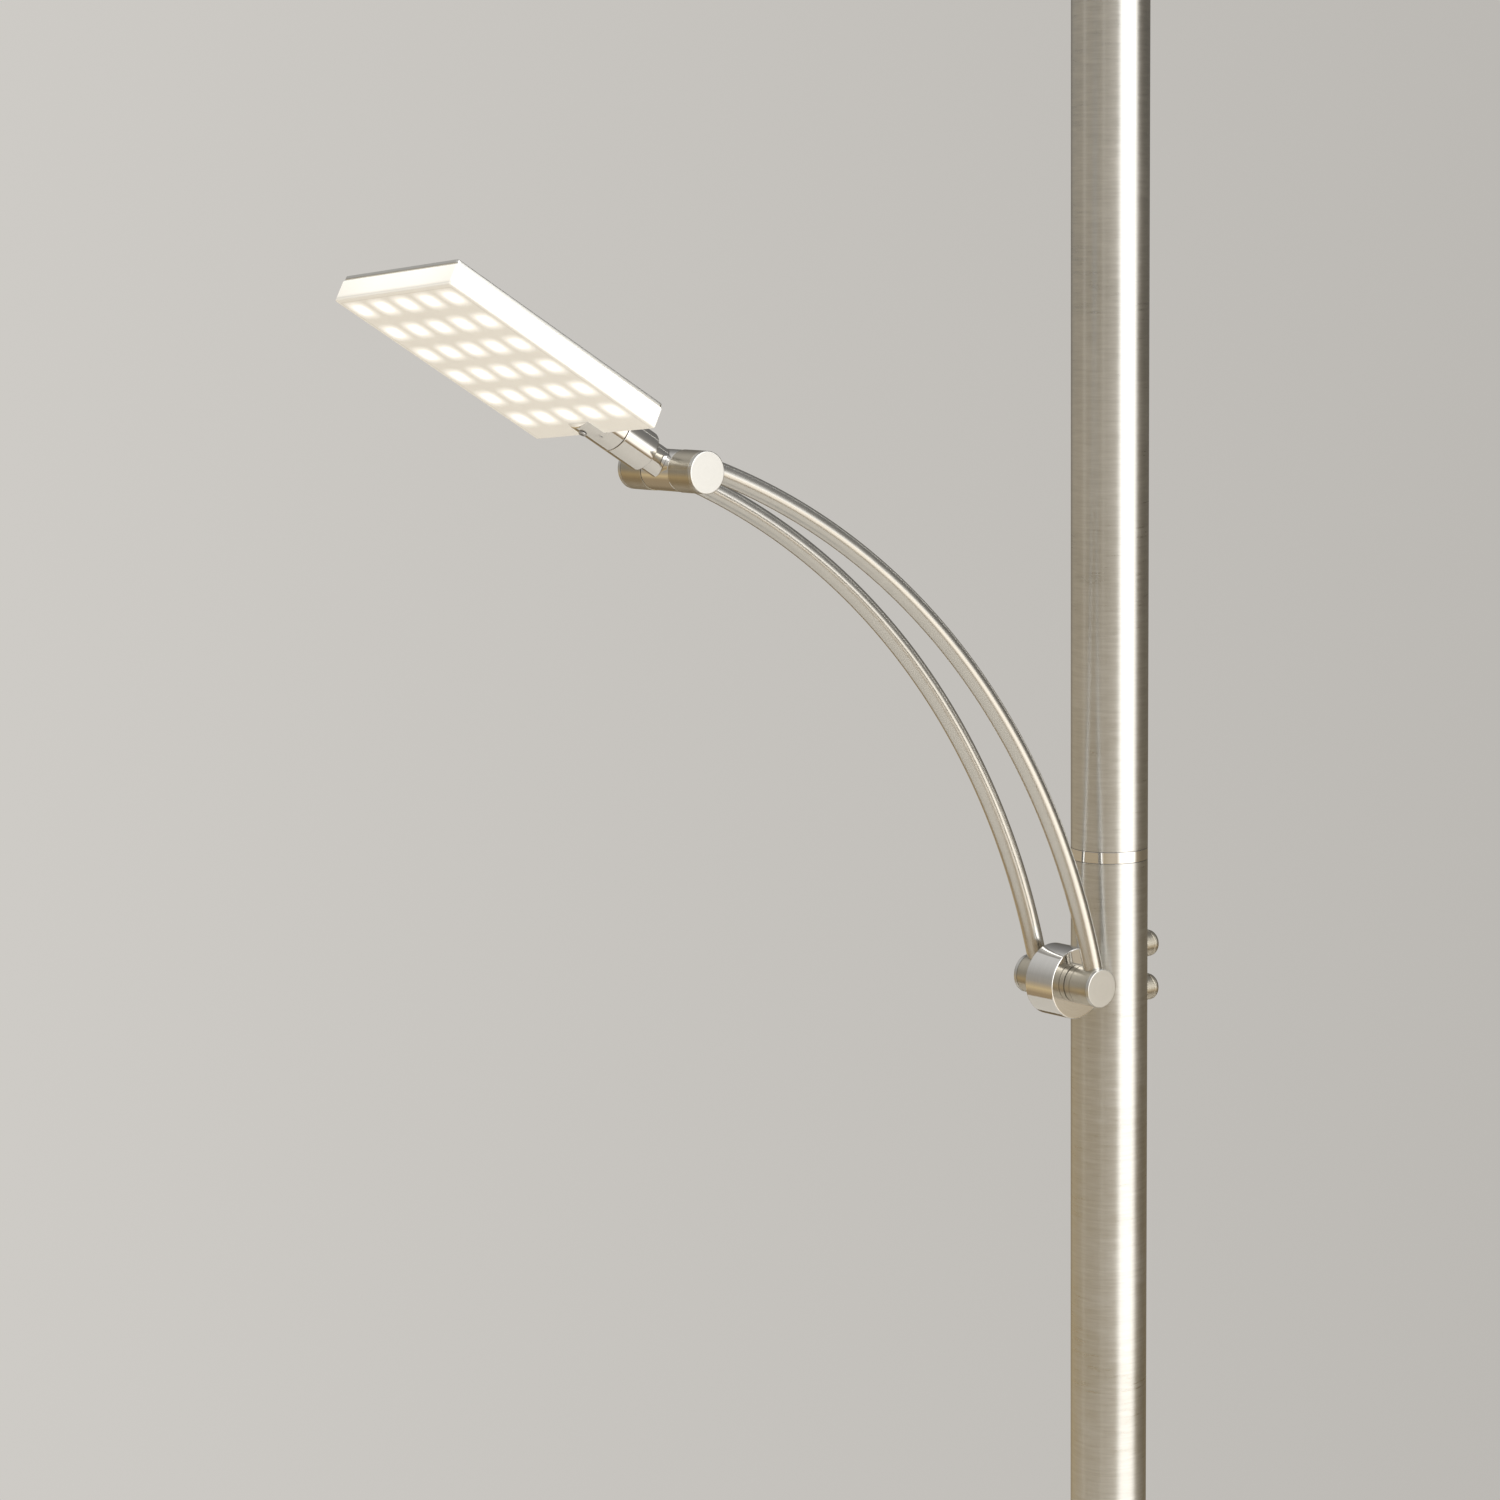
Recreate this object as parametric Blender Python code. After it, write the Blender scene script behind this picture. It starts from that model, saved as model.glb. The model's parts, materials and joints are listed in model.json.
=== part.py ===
"""Floor lamp with an uplighter on a straight pole and an adjustable reading arm.

Frame: metres, +Z up, origin at the centre of the base's underside. The arm reaches towards -X, and
its two crossbars lie along Y. "front" is the -Y end of a crossbar, "back" is the +Y end.
"""
import math

import bmesh
import bpy
from mathutils import Matrix, Vector

# Fits
GAP = 0.0003                    # clearance kept between touching pieces
DISC_SIDES = 36                 # facets of the large round pieces
RUN = 0.0004                    # radial clearance of a turning pair

# Pole
POLE_R = 0.0200
POLE_WALL = 0.0012
POLE_BORE = POLE_R - POLE_WALL
POLE_SIDES = 32
JOINT_RING_H = 0.0056
LOW_RING_Z = 0.5750
HIGH_RING_Z = 1.1410
SPLICE_R = POLE_BORE - RUN
SPLICE_BORE = 0.0166
SPLICE_HALF = 0.030

# Base
BASE_R = 0.140
BASE_H = 0.025
BASE_EDGE_R = 0.004
COVER_WALL = 0.0015
PAD_R = 0.1375
PAD_H = 0.002
WEIGHT_R = 0.134
WEIGHT_H = 0.016
WEIGHT_HOLE_R = 0.011
LEAD_SLOT_W = 0.008
LEAD_SLOT_H = 0.011
FOOT_R = 0.045
FOOT_H = 0.004
FOOT_SCREW_RING = 0.033
FOOT_SCREW_R = 0.003
COLLAR_R = 0.027
COLLAR_H = 0.007
GLAND_Z = 0.0118

# Arm hub on the pole
ARM_Z = 1.080
ARM_OUT = 0.0323                # pole axis to the lower crossbar's axis
BAR_R = 0.0100
BAR_HALF = 0.0278
HUB_R = 0.01854
HUB_HALF = 0.0099
SPACER_END = 0.0135
AXLE_R = 0.0040
CAP_H = 0.0020
CAP_SPIGOT = 0.0030
SLEEVE_BORE = 0.0075
BAR_SIDES = 20
HUB_SCREW_Z = 0.0105

# Arm: two rods on one circular arc
HEAD_OUT = 0.28525              # pole axis to the upper crossbar's axis
HEAD_UP = 0.27723               # lower to upper crossbar
ROD_R = 0.0050
ROD_BORE = 0.0034
ROD_Y = 0.0208
ARC_R = 0.3835
ARC_OUT = 0.40405               # pole axis to the arc's centre
ARC_UP = -0.0840                # lower crossbar to the arc's centre
ARC_START = math.radians(12.8)
ARC_END = math.radians(71.6)
ROD_SIDES = 10
BORE_SIDES = 6
ROD_STEPS = 16
WIRE_R = 0.0016

# Head joint
HEAD_PITCH = math.radians(31.3)
HEAD_ROLL = math.radians(6.1)
KNUCKLE_HALF = 0.0103
KNUCKLE_R = 0.0098
NECK_R = 0.0072
NECK_END = 0.0180
SOCKET_R = 0.0099
SOCKET_END = 0.0368
STUB_R = 0.0030
STUB_START = 0.0048
PIN_R = 0.0046
PIN_START = 0.0250
PIN_END = 0.0430
FORK_START = 0.0371
FORK_END = 0.0585

# Head
PANEL_REAR = 0.0470
PANEL_L = 0.1281
PANEL_HALF_W = 0.04255
PANEL_LOW = -0.0069
PANEL_H = 0.01257
PLATE_H = 0.0020
TRAY_WALL = 0.0026
TRAY_FLOOR = 0.0030
BOARD_H = 0.0016
LED_ROWS = 6
LED_COLUMNS = 5
LED_ROW_PITCH = 0.01995
LED_COLUMN_PITCH = 0.0166
LED_SHIFT = 0.00415             # grid centre ahead of the panel's centre
LED_SIZE = 0.0050
LED_H = 0.0011
SOLDER = 0.0002                 # how far an LED's body is sunk into its board

# Dimmers
KNOB_R = 0.0070
KNOB_TIP = 0.0328
KNOB_START = POLE_R + 0.0006
KNOB_Z = {"upper": ARM_Z + 0.0120, "lower": ARM_Z - 0.0115}
DIMMER_W = 0.0140
DIMMER_D = 0.0100
DIMMER_H = 0.0100
BUSH_R = 0.0036
SHAFT_R = 0.0026

# Uplighter
TOTAL_H = 1.800
DISH_R = 0.135
DISH_FOOT_R = 0.030
DISH_Z = 1.7650
DISH_WALL = 0.0015
TUBE_TOP = 1.7620
LENS_R = 0.1310
LENS_H = 0.0030
LENS_Z = 1.7935
PLUG_H = 0.022
BOLT_R = 0.0050
BOLT_BORE = 0.0030
SINK_R = 0.095
SINK_Z = 1.7780
SINK_H = 0.0050
RING_IN = 0.1240
UP_LED_RINGS = ((0.040, 8), (0.072, 12))

# Wiring and drivers inside the pole
LEAD_R = 0.0023
LEAD_Y = 0.0132
DRIVER_SIZE = (0.020, 0.016, 0.110)
DRIVER_Z = 0.880

SHARP = math.radians(35)
ALONG_X = Matrix.Rotation(math.pi / 2, 4, "Y")
ALONG_Y = Matrix.Rotation(-math.pi / 2, 4, "X")
SIDES = {"front": 1, "back": -1}


# ---------------------------------------------------------------- materials

def finish(name, colour, roughness, metallic):
    """A plain surface of one colour; the record's slots give the real finishes."""
    surface = bpy.data.materials.new(name)
    surface.use_nodes = True
    shader = surface.node_tree.nodes["Principled BSDF"]
    shader.inputs["Base Color"].default_value = (*colour, 1.0)
    shader.inputs["Roughness"].default_value = roughness
    shader.inputs["Metallic"].default_value = metallic
    return surface


# ---------------------------------------------------------------- modelling helpers

def turn(profile, sides=24, ring=False, matrix=None):
    """A mesh spun about Z from (radius, height) points; ring closes the outline away from the axis."""
    bm = bmesh.new()
    verts = [bm.verts.new((radius, 0.0, height)) for radius, height in profile]
    edges = [bm.edges.new(pair) for pair in zip(verts, verts[1:])]
    if ring:
        edges.append(bm.edges.new((verts[-1], verts[0])))
    bmesh.ops.spin(bm, geom=verts + edges, cent=(0, 0, 0), axis=(0, 0, 1), dvec=(0, 0, 0),
                   angle=2 * math.pi, steps=sides, use_merge=True, use_duplicate=False)
    bmesh.ops.remove_doubles(bm, verts=bm.verts, dist=1e-6)
    bmesh.ops.recalc_face_normals(bm, faces=bm.faces)
    if matrix is not None:
        bmesh.ops.transform(bm, matrix=matrix, verts=bm.verts)
    return bm


def rod(radius, start, end, sides=24, matrix=None):
    """A solid cylinder along Z between two heights."""
    return turn([(0, start), (radius, start), (radius, end), (0, end)], sides, matrix=matrix)


def tube(radius, bore, start, end, sides=24, matrix=None):
    """A hollow cylinder along Z, open at both ends."""
    outline = [(bore, start), (radius, start), (radius, end), (bore, end)]
    return turn(outline, sides, ring=True, matrix=matrix)


def block(low, high):
    """A box between two corners."""
    bm = bmesh.new()
    bmesh.ops.create_cube(bm, size=1.0)
    size = Vector(high) - Vector(low)
    middle = (Vector(high) + Vector(low)) / 2
    bmesh.ops.transform(bm, matrix=Matrix.Translation(middle) @ Matrix.Diagonal((*size, 1.0)),
                        verts=bm.verts)
    return bm


def gather(pieces):
    """Several closed bodies as one mesh."""
    whole = bmesh.new()
    for piece in pieces:
        mesh = bpy.data.meshes.new("piece")
        piece.to_mesh(mesh)
        piece.free()
        whole.from_mesh(mesh)
        bpy.data.meshes.remove(mesh)
    return whole


def node(name, bm, surface, parent=None):
    """Turn a bmesh into a named object, smooth except at its sharp edges."""
    mesh = bpy.data.meshes.new(name)
    bm.to_mesh(mesh)
    bm.free()
    mesh.shade_smooth()
    mesh.set_sharp_from_angle(angle=SHARP)
    mesh.materials.append(surface)
    made = bpy.data.objects.new(name, mesh)
    bpy.context.scene.collection.objects.link(made)
    made.parent = parent
    return made


def combine(target, bm, operation):
    """Apply a Boolean between an object and a volume given in the object's own frame."""
    tool = node("tool", bm, target.data.materials[0], target.parent)
    boolean = target.modifiers.new("combine", "BOOLEAN")
    boolean.operation = operation
    boolean.solver = "EXACT"
    boolean.object = tool
    with bpy.context.temp_override(object=target, active_object=target):
        bpy.ops.object.modifier_apply(modifier=boolean.name)
    target.data.set_sharp_from_angle(angle=SHARP)
    bpy.data.meshes.remove(tool.data)


def cut(target, bm):
    """Remove a volume from an object, both given in the object's own frame."""
    combine(target, bm, "DIFFERENCE")


def join(target, bm):
    """Unite a volume with an object, both given in the object's own frame."""
    combine(target, bm, "UNION")


def pivot(name, location, rotation, parent=None):
    """An empty on a joint's axis, which carries the pieces that turn with it."""
    empty = bpy.data.objects.new(name, None)
    bpy.context.scene.collection.objects.link(empty)
    empty.location = location
    empty.rotation_euler = rotation
    empty.parent = parent
    return empty


def screw(head_r, head_h, shank_r, length, matrix, sides=12):
    """A pan-head screw: its head rises above Z=0 and its shank runs down to -length."""
    outline = [(0, -length), (shank_r, -length), (shank_r, 0), (head_r, 0),
               (head_r, head_h * 0.6), (head_r * 0.7, head_h), (0, head_h)]
    return turn(outline, sides, matrix=matrix)


def at(x, y, z):
    """A move."""
    return Matrix.Translation((x, y, z))


def quarter(centre_r, centre_z, radius, first, last, steps):
    """Points on an arc in the profile plane, from one angle to another, in degrees."""
    points = []
    for step in range(steps + 1):
        angle = math.radians(first + (last - first) * step / steps)
        points.append((centre_r + radius * math.cos(angle), centre_z + radius * math.sin(angle)))
    return points


# ---------------------------------------------------------------- base

def make_base(looks):
    """Pad, weight, pressed cover, pole foot with its screws, foot collar and lead gland."""
    node("base_pad", rod(PAD_R, 0.0, PAD_H, DISC_SIDES), looks["felt"])

    weight_low = PAD_H + GAP
    weight_top = weight_low + WEIGHT_H
    weight = node("base_weight", tube(WEIGHT_R, WEIGHT_HOLE_R, weight_low, weight_top, DISC_SIDES),
                  looks["cast"])
    slot_top = weight_low + LEAD_SLOT_H
    cut(weight, block((0, -LEAD_SLOT_W / 2, -0.01), (0.2, LEAD_SLOT_W / 2, slot_top)))

    foot_low = weight_top + GAP
    foot_top = foot_low + FOOT_H
    spigot_top = foot_top + 0.030
    foot = node("pole_foot", turn([(WEIGHT_HOLE_R, foot_low), (FOOT_R, foot_low), (FOOT_R, foot_top),
                                   (SPLICE_R, foot_top), (SPLICE_R, spigot_top),
                                   (WEIGHT_HOLE_R, spigot_top)], POLE_SIDES, ring=True),
                looks["steel"])

    head_h = 0.004
    for index in range(3):
        angle = math.radians(60 + 120 * index)
        x = FOOT_SCREW_RING * math.cos(angle)
        y = FOOT_SCREW_RING * math.sin(angle)
        cut(weight, rod(FOOT_SCREW_R * 2.2, -0.01, weight_low + head_h + 0.002, 16,
                        at(x, y, 0)))
        cut(weight, rod(FOOT_SCREW_R + RUN, 0.0, 0.03, 10, at(x, y, 0)))
        cut(foot, rod(FOOT_SCREW_R + RUN, 0.0, 0.03, 10, at(x, y, 0)))
        seat = weight_low + head_h + 0.002 - GAP
        flip = Matrix.Rotation(math.pi, 4, "X")
        node(f"base_screw_{index + 1}", screw(FOOT_SCREW_R * 1.8, head_h, FOOT_SCREW_R,
                                              foot_top - GAP - seat, at(x, y, seat) @ flip),
             looks["steel"])

    edge = quarter(BASE_R - BASE_EDGE_R, BASE_H - BASE_EDGE_R, BASE_EDGE_R, 0, 90, 3)
    inner = quarter(BASE_R - BASE_EDGE_R, BASE_H - BASE_EDGE_R, BASE_EDGE_R - COVER_WALL, 90, 0, 2)
    cover_hole = POLE_R + GAP * 2
    outline = [(BASE_R, weight_low)] + edge + [(cover_hole, BASE_H), (cover_hole, BASE_H - COVER_WALL)]
    outline += inner + [(BASE_R - COVER_WALL, weight_low)]
    cover = node("base_cover", turn(outline, DISC_SIDES, ring=True), looks["nickel"])
    gland_hole = 0.0052
    cut(cover, rod(gland_hole, 0.120, 0.160, 16, at(0, 0, GLAND_Z) @ ALONG_X))

    gland_wall = BASE_R - COVER_WALL
    gland = [(0.0030, gland_wall - 0.004), (0.0044, gland_wall - 0.004), (0.0044, BASE_R + 0.0004),
             (0.0066, BASE_R + 0.0004), (0.0060, BASE_R + 0.0024), (0.0030, BASE_R + 0.0024)]
    node("lead_gland", turn(gland, 14, ring=True, matrix=at(0, 0, GLAND_Z) @ ALONG_X), looks["rubber"])

    collar_low = BASE_H + GAP
    collar_bore = POLE_R + GAP * 2
    collar_top = collar_low + COLLAR_H
    collar = [(collar_bore, collar_low), (COLLAR_R, collar_low), (COLLAR_R, collar_top - 0.0015),
              (COLLAR_R - 0.0015, collar_top), (collar_bore, collar_top)]
    node("foot_collar", turn(collar, POLE_SIDES, ring=True), looks["chrome"])
    return foot_top + GAP


# ---------------------------------------------------------------- pole

def make_pole(looks, tube_start):
    """Three tubes, two flush rings, and the splices that hold the tubes in line."""
    high_ring_top = HIGH_RING_Z + JOINT_RING_H
    node("lower_tube", tube(POLE_R, POLE_BORE, tube_start, LOW_RING_Z - GAP, POLE_SIDES),
         looks["nickel"])
    middle = node("middle_tube", tube(POLE_R, POLE_BORE, LOW_RING_Z + JOINT_RING_H + GAP,
                                      HIGH_RING_Z - GAP, POLE_SIDES), looks["nickel"])
    node("upper_tube", tube(POLE_R, POLE_BORE, high_ring_top + GAP, TUBE_TOP, POLE_SIDES),
         looks["nickel"])
    for level, ring_z in (("low", LOW_RING_Z), ("high", HIGH_RING_Z)):
        node(f"joint_ring_{level}", tube(POLE_R, POLE_BORE, ring_z, ring_z + JOINT_RING_H, POLE_SIDES),
             looks["chrome"])
        centre = ring_z + JOINT_RING_H / 2
        node(f"splice_{level}", tube(SPLICE_R, SPLICE_BORE, centre - SPLICE_HALF, centre + SPLICE_HALF,
                                     POLE_SIDES), looks["steel"])
    return middle


def make_dimmers(looks, middle_tube):
    """A dimmer with its knob for each of the two lights, through the pole's side away from the arm."""
    for level, height in KNOB_Z.items():
        line = at(0, 0, height) @ ALONG_X
        cut(middle_tube, rod(BUSH_R + RUN, 0.010, 0.030, 16, line))
        case_x = POLE_BORE - 0.0035
        half_w = DIMMER_W / 2
        half_h = DIMMER_H / 2
        case = node(f"dimmer_{level}", block((case_x - DIMMER_D, -half_w, height - half_h),
                                             (case_x, half_w, height + half_h)), looks["plastic"])
        join(case, rod(BUSH_R, case_x - 0.001, POLE_R + 0.0002, 16, line))
        cut(case, rod(SHAFT_R + RUN, case_x - 0.006, 0.030, 10, line))
        hinge = pivot(f"knob_pivot_{level}", (KNOB_START, 0, height), (0, 0, 0))
        make_knob(f"knob_{level}", hinge, case_x, looks)


def make_knob(name, hinge, case_x, looks):
    """A round knob with a domed end, made in one with its shaft."""
    length = KNOB_TIP - KNOB_START
    dome = 0.0045
    shaft_start = case_x - 0.005 - KNOB_START
    outline = [(0, shaft_start), (SHAFT_R, shaft_start), (SHAFT_R, 0), (KNOB_R, 0)]
    outline.append((KNOB_R, length - dome))
    for step in range(1, 4):
        angle = math.radians(90 * step / 4)
        outline.append((KNOB_R * math.cos(angle), length - dome + dome * math.sin(angle)))
    outline.append((0, length))
    node(name, turn(outline, 16, matrix=ALONG_X), looks["chrome"], hinge)


# ---------------------------------------------------------------- arm

def crossbar_line(y=0.0):
    """The matrix that lays a turned piece along a crossbar, with its height along local Y."""
    return at(0, y, 0) @ ALONG_Y


def make_hub(looks, middle_tube):
    """The hub clamped to the pole, its two screws and the fixed spacers beside it."""
    seat = pivot("hub_seat", (-ARM_OUT, 0, ARM_Z), (0, 0, math.pi))
    edge = 0.0006
    outline = [(AXLE_R + RUN, -HUB_HALF), (HUB_R - edge, -HUB_HALF), (HUB_R, -HUB_HALF + edge),
               (HUB_R, HUB_HALF - edge), (HUB_R - edge, HUB_HALF), (AXLE_R + RUN, HUB_HALF)]
    hub = node("arm_hub", turn(outline, POLE_SIDES, ring=True, matrix=ALONG_Y), looks["chrome"], seat)
    cut(hub, rod(POLE_R + GAP, -0.05, 0.05, POLE_SIDES, at(-ARM_OUT, 0, 0)))

    head_seat = -ARM_OUT + POLE_BORE - GAP
    for level, height in (("lower", -HUB_SCREW_Z), ("upper", HUB_SCREW_Z)):
        line = at(0, 0, height) @ ALONG_X
        cut(hub, rod(0.0025 + RUN, -0.05, -0.0075, 10, line))
        hole = rod(0.0025 + RUN, -POLE_R - 0.005, -POLE_R + 0.005, 12, at(0, 0, ARM_Z + height) @ ALONG_X)
        cut(middle_tube, hole)
        inward = Matrix.Rotation(math.pi, 4, "X")
        node(f"hub_screw_{level}", screw(0.0042, 0.003, 0.0025, 0.0060, at(head_seat - GAP, 0, height)
                                         @ ALONG_X @ inward), looks["steel"], seat)

    for side, sign in SIDES.items():
        start = HUB_HALF + GAP
        spacer = tube(BAR_R, AXLE_R + RUN, start, SPACER_END, BAR_SIDES, crossbar_line())
        if sign < 0:
            bmesh.ops.transform(spacer, matrix=Matrix.Rotation(math.pi, 4, "Z"), verts=spacer.verts)
        node(f"hub_spacer_{side}", spacer, looks["nickel"], seat)


def make_crossbar(level, holder, looks, start):
    """Sleeves, end caps and axle of one crossbar, centred on its holder."""
    axle_half = BAR_HALF - CAP_H - CAP_SPIGOT - GAP * 2
    node(f"{level}_axle", rod(AXLE_R, -axle_half, axle_half, 20, ALONG_Y), looks["steel"], holder)
    for side, sign in SIDES.items():
        turned = Matrix.Rotation(0 if sign > 0 else math.pi, 4, "Z") @ ALONG_Y
        end = BAR_HALF - CAP_H - GAP
        web = start + 0.0040
        sleeve = [(AXLE_R + RUN, start), (BAR_R, start), (BAR_R, end), (SLEEVE_BORE, end),
                  (SLEEVE_BORE, web), (AXLE_R + RUN, web)]
        node(f"{level}_sleeve_{side}", turn(sleeve, BAR_SIDES, ring=True, matrix=turned),
             looks["nickel"], holder)
        rim = 0.0004
        cap = [(0, end - CAP_SPIGOT), (SLEEVE_BORE - RUN, end - CAP_SPIGOT), (SLEEVE_BORE - RUN, end + GAP),
               (BAR_R, end + GAP), (BAR_R, BAR_HALF - rim), (BAR_R - rim, BAR_HALF), (0, BAR_HALF)]
        node(f"{level}_cap_{side}", turn(cap, BAR_SIDES, matrix=turned), looks["nickel"], holder)


def arc_rod(radius, y, first, last, sides):
    """A round bar swept along the arm's arc. Local origin: the lower crossbar."""
    bm = bmesh.new()
    centre = Vector((ARC_OUT - ARM_OUT, y, ARC_UP))
    outward = Vector((-math.cos(first), 0, math.sin(first)))
    across = Vector((0, 1, 0))
    verts = []
    for index in range(sides):
        angle = 2 * math.pi * index / sides
        verts.append(bm.verts.new(centre + outward * (ARC_R + radius * math.cos(angle))
                                  + across * radius * math.sin(angle)))
    loop = [bm.edges.new(pair) for pair in zip(verts, verts[1:] + verts[:1])]
    swept = bmesh.ops.spin(bm, geom=verts + loop, cent=centre, axis=across, dvec=(0, 0, 0),
                           angle=last - first, steps=ROD_STEPS, use_duplicate=False)
    end_loop = [item for item in swept["geom_last"] if isinstance(item, bmesh.types.BMEdge)]
    bmesh.ops.contextual_create(bm, geom=loop)
    bmesh.ops.contextual_create(bm, geom=end_loop)
    bmesh.ops.recalc_face_normals(bm, faces=bm.faces)
    return bm


def make_arm(looks):
    """Lower crossbar, two curved rods, the head's wire in the front rod, and the upper crossbar."""
    arm = pivot("arm_pivot", (-ARM_OUT, 0, ARM_Z), (0, 0, math.pi))
    make_crossbar("lower", arm, looks, SPACER_END + GAP)
    upper = pivot("upper_bar", (HEAD_OUT - ARM_OUT, 0, HEAD_UP), (0, 0, 0), arm)
    make_crossbar("upper", upper, looks, KNUCKLE_HALF + GAP)
    clear = BAR_R + GAP
    overrun = math.radians(0.5)
    for side, sign in SIDES.items():
        made = node(f"arm_rod_{side}", arc_rod(ROD_R, sign * ROD_Y, ARC_START, ARC_END, ROD_SIDES),
                    looks["satin"], arm)
        cut(made, arc_rod(ROD_BORE, sign * ROD_Y, ARC_START - overrun, ARC_END + overrun, BORE_SIDES))
        cut(made, rod(clear, -0.04, 0.04, BAR_SIDES, ALONG_Y))
        cut(made, rod(clear, -0.04, 0.04, BAR_SIDES, at(HEAD_OUT - ARM_OUT, 0, HEAD_UP) @ ALONG_Y))
    wire_start = ARC_START + math.radians(1.6)
    wire_end = ARC_END - math.radians(1.6)
    node("arm_wire", arc_rod(WIRE_R, ROD_Y, wire_start, wire_end, BORE_SIDES), looks["cable"], arm)
    return upper


# ---------------------------------------------------------------- head

def make_head_joint(looks, upper):
    """Knuckle on the upper axle and the turned socket that the head swivels in."""
    tilt = pivot("head_tilt_pivot", (0, 0, 0), (0, -HEAD_PITCH, 0), upper)
    knuckle = node("head_knuckle", tube(KNUCKLE_R, AXLE_R + RUN, -KNUCKLE_HALF, KNUCKLE_HALF, BAR_SIDES,
                                        ALONG_Y), looks["chrome"], tilt)
    cut(knuckle, rod(STUB_R + RUN, 0.0, 0.02, 16, ALONG_X))
    shoulder = 0.0008
    lip = 0.0004
    socket_rear = KNUCKLE_R - 0.0030
    outline = [(0, STUB_START), (STUB_R, STUB_START), (STUB_R, socket_rear), (NECK_R, socket_rear),
               (NECK_R, NECK_END - shoulder), (SOCKET_R - lip, NECK_END), (SOCKET_R, NECK_END + lip),
               (SOCKET_R, SOCKET_END), (PIN_R + RUN, SOCKET_END), (PIN_R + RUN, PIN_START - GAP),
               (0, PIN_START - GAP)]
    socket = node("swivel_socket", turn(outline, BAR_SIDES, matrix=ALONG_X), looks["chrome"], tilt)
    cut(socket, tube(KNUCKLE_R + GAP, STUB_R + 0.0001, -0.02, 0.02, BAR_SIDES, ALONG_Y))
    return tilt


def make_fork(looks, swivel):
    """The slotted front half of the joint, which grips the panel, with its pin, ring and screws."""
    lip = 0.0004
    recess = 0.0084
    depth = FORK_START + 0.0020
    outline = [(recess, FORK_START), (SOCKET_R, FORK_START), (SOCKET_R, FORK_END - lip),
               (SOCKET_R - lip, FORK_END), (0, FORK_END), (0, PIN_END + GAP), (PIN_R + RUN, PIN_END + GAP),
               (PIN_R + RUN, depth), (recess, depth)]
    bm = turn(outline, BAR_SIDES, ring=True, matrix=ALONG_X)
    fork = node("head_fork", bm, looks["chrome"], swivel)
    panel_top = PANEL_LOW + PANEL_H
    cut(fork, block((PANEL_REAR - GAP, -0.02, PANEL_LOW - GAP), (0.08, 0.02, panel_top + GAP)))
    node("swivel_pin", rod(PIN_R, PIN_START, PIN_END, 20, ALONG_X), looks["steel"], swivel)
    node("swivel_ring", tube(recess - GAP, PIN_R + RUN, FORK_START + 0.0002, depth - GAP, 20, ALONG_X),
         looks["plastic"], swivel)
    return fork


def make_panel(looks, swivel, fork):
    """Metal top plate, clear tray, circuit board with its LEDs, and the screws that hold them."""
    front = PANEL_REAR + PANEL_L
    top = PANEL_LOW + PANEL_H
    plate_low = top - PLATE_H
    plate = node("panel_plate", block((PANEL_REAR, -PANEL_HALF_W, plate_low), (front, PANEL_HALF_W, top)),
                 looks["nickel"], swivel)
    tray_top = plate_low - GAP
    tray = node("panel_diffuser", block((PANEL_REAR, -PANEL_HALF_W, PANEL_LOW),
                                        (front, PANEL_HALF_W, tray_top)), looks["acrylic"], swivel)
    cavity_half = PANEL_HALF_W - TRAY_WALL
    cut(tray, block((PANEL_REAR + TRAY_WALL, -cavity_half, PANEL_LOW + TRAY_FLOOR),
                    (front - TRAY_WALL, cavity_half, tray_top + 0.01)))
    board_half = cavity_half - 0.0008
    board_low = tray_top - BOARD_H
    board = node("led_board", block((PANEL_REAR + TRAY_WALL + 0.0008, -board_half, board_low),
                                    (front - TRAY_WALL - 0.0008, board_half, tray_top)),
                 looks["board"], swivel)
    chips = []
    middle = (PANEL_REAR + front) / 2 + LED_SHIFT
    for row in range(LED_ROWS):
        x = middle + (row - (LED_ROWS - 1) / 2) * LED_ROW_PITCH
        for column in range(LED_COLUMNS):
            y = (column - (LED_COLUMNS - 1) / 2) * LED_COLUMN_PITCH
            half = LED_SIZE / 2
            chips.append(block((x - half, y - half, board_low - LED_H),
                               (x + half, y + half, board_low + SOLDER)))
    join(board, gather(chips))

    jaw_x = (PANEL_REAR + FORK_END) / 2 + 0.001
    shank = 0.0010
    for target in (fork, plate):
        cut(target, rod(shank + RUN, 0.0, 0.02, 10, at(jaw_x, 0, 0)))
    for target in (fork, tray):
        cut(target, rod(shank + RUN, -0.02, PANEL_LOW + 0.0022, 10, at(jaw_x, 0, 0)))
    node("fork_screw_top", screw(0.0019, 0.0008, shank, 0.0062, at(jaw_x, 0, SOCKET_R + GAP)),
         looks["steel"], swivel)
    under = Matrix.Rotation(math.pi, 4, "X")
    node("fork_screw_under", screw(0.0019, 0.0008, shank, 0.0045, at(jaw_x, 0, -SOCKET_R - GAP) @ under),
         looks["steel"], swivel)


def make_head(looks, upper):
    """Everything beyond the upper crossbar."""
    tilt = make_head_joint(looks, upper)
    swivel = pivot("head_swivel_pivot", (0, 0, 0), (HEAD_ROLL, 0, 0), tilt)
    fork = make_fork(looks, swivel)
    make_panel(looks, swivel, fork)


# ---------------------------------------------------------------- uplighter

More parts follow.
